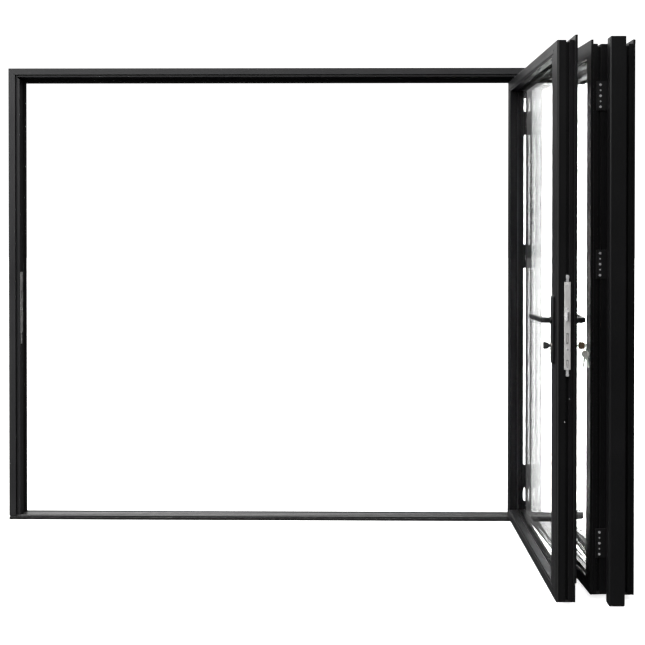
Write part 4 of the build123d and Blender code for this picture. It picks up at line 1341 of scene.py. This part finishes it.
@dataclass
class Studio:
    """Plain pale floor and soft light: white to the eye, brighter through glass, dark in reflections."""

    floor_size: float = 60.0
    floor_seen: float = 0.9
    floor_mirrored: float = 0.05
    floor_lift: float = 0.8
    floor_left: Span = (1.0, 1.1)
    back_seen: float = 1.25
    back_through_glass: float = 10.0
    back_mirrored: float = 0.1
    surfaces_hidden: float = 5.0
    sky_low: float = 0.04
    sky_high: float = 4.0
    sky_rise: Span = (-0.03, 0.3)
    sky_power: float = 4.0
    sky_filled: float = 0.12
    sky_left: Span = (-0.04, 0.0)
    right_side: Span = (-0.15, 0.25)
    right_share: float = 0.1
    lamps: tuple[Lamp, ...] = (Lamp("overhead", 2.6, 12.0, 0.0), Lamp("side", 5.0, 60.0, -70.0))

    def masks(self, wiring: Wiring, left: Socket) -> tuple[Socket, Socket, Socket, Socket]:
        """Tell apart what is seen straight, through glass, and mirrored to the left through one leaf.

        Args:
            wiring: The material's or world's wiring.
            left: A mask for what lies to the left.

        Returns:
            The masks for a straight look, a look through glass and the mirrored look, and the
            brightness of what lies beyond glass.
        """
        path = wiring.node("ShaderNodeLightPath")
        through = wiring.calc("SUBTRACT", path.outputs["Is Transmission Ray"], path.outputs["Diffuse Depth"])
        mirrored = wiring.calc("MULTIPLY", wiring.calc("MINIMUM", path.outputs["Glossy Depth"], 1.0), left)
        one_leaf = wiring.calc("SUBTRACT", self.surfaces_hidden + 1.0, path.outputs["Transmission Depth"])
        hidden = wiring.calc("MULTIPLY", wiring.calc("MULTIPLY", mirrored, one_leaf), through)
        beyond = wiring.spread(hidden, self.back_through_glass, self.back_mirrored)
        return path.outputs["Is Camera Ray"], through, hidden, beyond

    def floor(self) -> None:
        """Make the floor."""
        mesh = bmesh.new()
        bmesh.ops.create_grid(mesh, x_segments=1, y_segments=1, size=self.floor_size / 2)
        data = bpy.data.meshes.new("floor")
        mesh.to_mesh(data)
        mesh.free()
        floor = bpy.data.objects.new("floor", data)
        bpy.context.collection.objects.link(floor)
        material, wiring, shader = new_material("pale_floor")
        left = wiring.spread(wiring.split(wiring.here()).outputs["X"], 1.0, 0.0, *self.floor_left)
        straight, through, hidden, beyond = self.masks(wiring, left)
        seen = wiring.calc("ADD", straight, wiring.calc("SUBTRACT", through, hidden))
        base = wiring.blend(seen, (self.floor_mirrored,) * 3, (self.floor_seen,) * 3)
        strength = wiring.spread(through, wiring.spread(straight, 0.0, self.floor_lift), beyond)
        wiring.plug(shader, Base_Color=base, Roughness=0.9, Specular_IOR_Level=0.1)
        wiring.plug(shader, Emission_Color=WHITE, Emission_Strength=strength)
        data.materials.append(material)

    def sky(self) -> None:
        """Light the scene from all round: more from above than from level, and less from the right."""
        world = bpy.data.worlds.new("studio_light")
        bpy.context.scene.world = world
        world.use_nodes = True
        wiring = Wiring(world.node_tree)
        axes = wiring.split(wiring.node("ShaderNodeTexCoord").outputs["Generated"]).outputs
        rise = wiring.calc("POWER", wiring.spread(axes["Z"], 0.0, 1.0, *self.sky_rise), self.sky_power)
        lit = wiring.spread(rise, self.sky_low, self.sky_high)
        side = wiring.spread(axes["X"], 1.0, self.right_share, *self.right_side)
        shaded = wiring.calc("MULTIPLY", lit, side, clamp=False)
        left = wiring.spread(axes["X"], 1.0, 0.0, *self.sky_left)
        straight, through, _, beyond = self.masks(wiring, left)
        filled = wiring.node("ShaderNodeLightPath").outputs["Is Diffuse Ray"]
        strength = wiring.spread(filled, shaded, self.sky_filled)
        strength = wiring.spread(straight, strength, self.back_seen)
        strength = wiring.spread(through, strength, beyond)
        wiring.plug(world.node_tree.nodes["Background"], Color=WHITE, Strength=strength)

    def build(self) -> None:
        """Make the floor, the sky and the lamps."""
        self.floor()
        self.sky()
        for lamp in self.lamps:
            lamp.build()
        bpy.context.scene.view_settings.view_transform = "Standard"


def main() -> None:
    """Build the looks of the door around its frame, and log the faces of each new piece."""
    logging.basicConfig(level=logging.INFO, format="%(message)s")
    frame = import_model()
    CameraRig().build()
    Studio().build()
    paint = Paint(EffectLibrary(), frame["nodes"])
    lead = LeafPlace(Leaf.LEAD, paint.nodes)
    middle = LeafPlace(Leaf.MIDDLE, paint.nodes, tilt=3.85)
    jamb = LeafPlace(Leaf.JAMB, paint.nodes)
    OuterFrame(paint).build()
    for place in (lead, middle, jamb):
        DoorLeaf(paint, place).build()
    Interlock(paint).build()
    Hinges(paint, lead, middle, jamb).build()
    LockSet(paint, lead).build()
    HandleSet(paint, lead).build()
    KeyBunch(paint).build()
    Keep(paint).build()


if __name__ == "__main__":
    main()
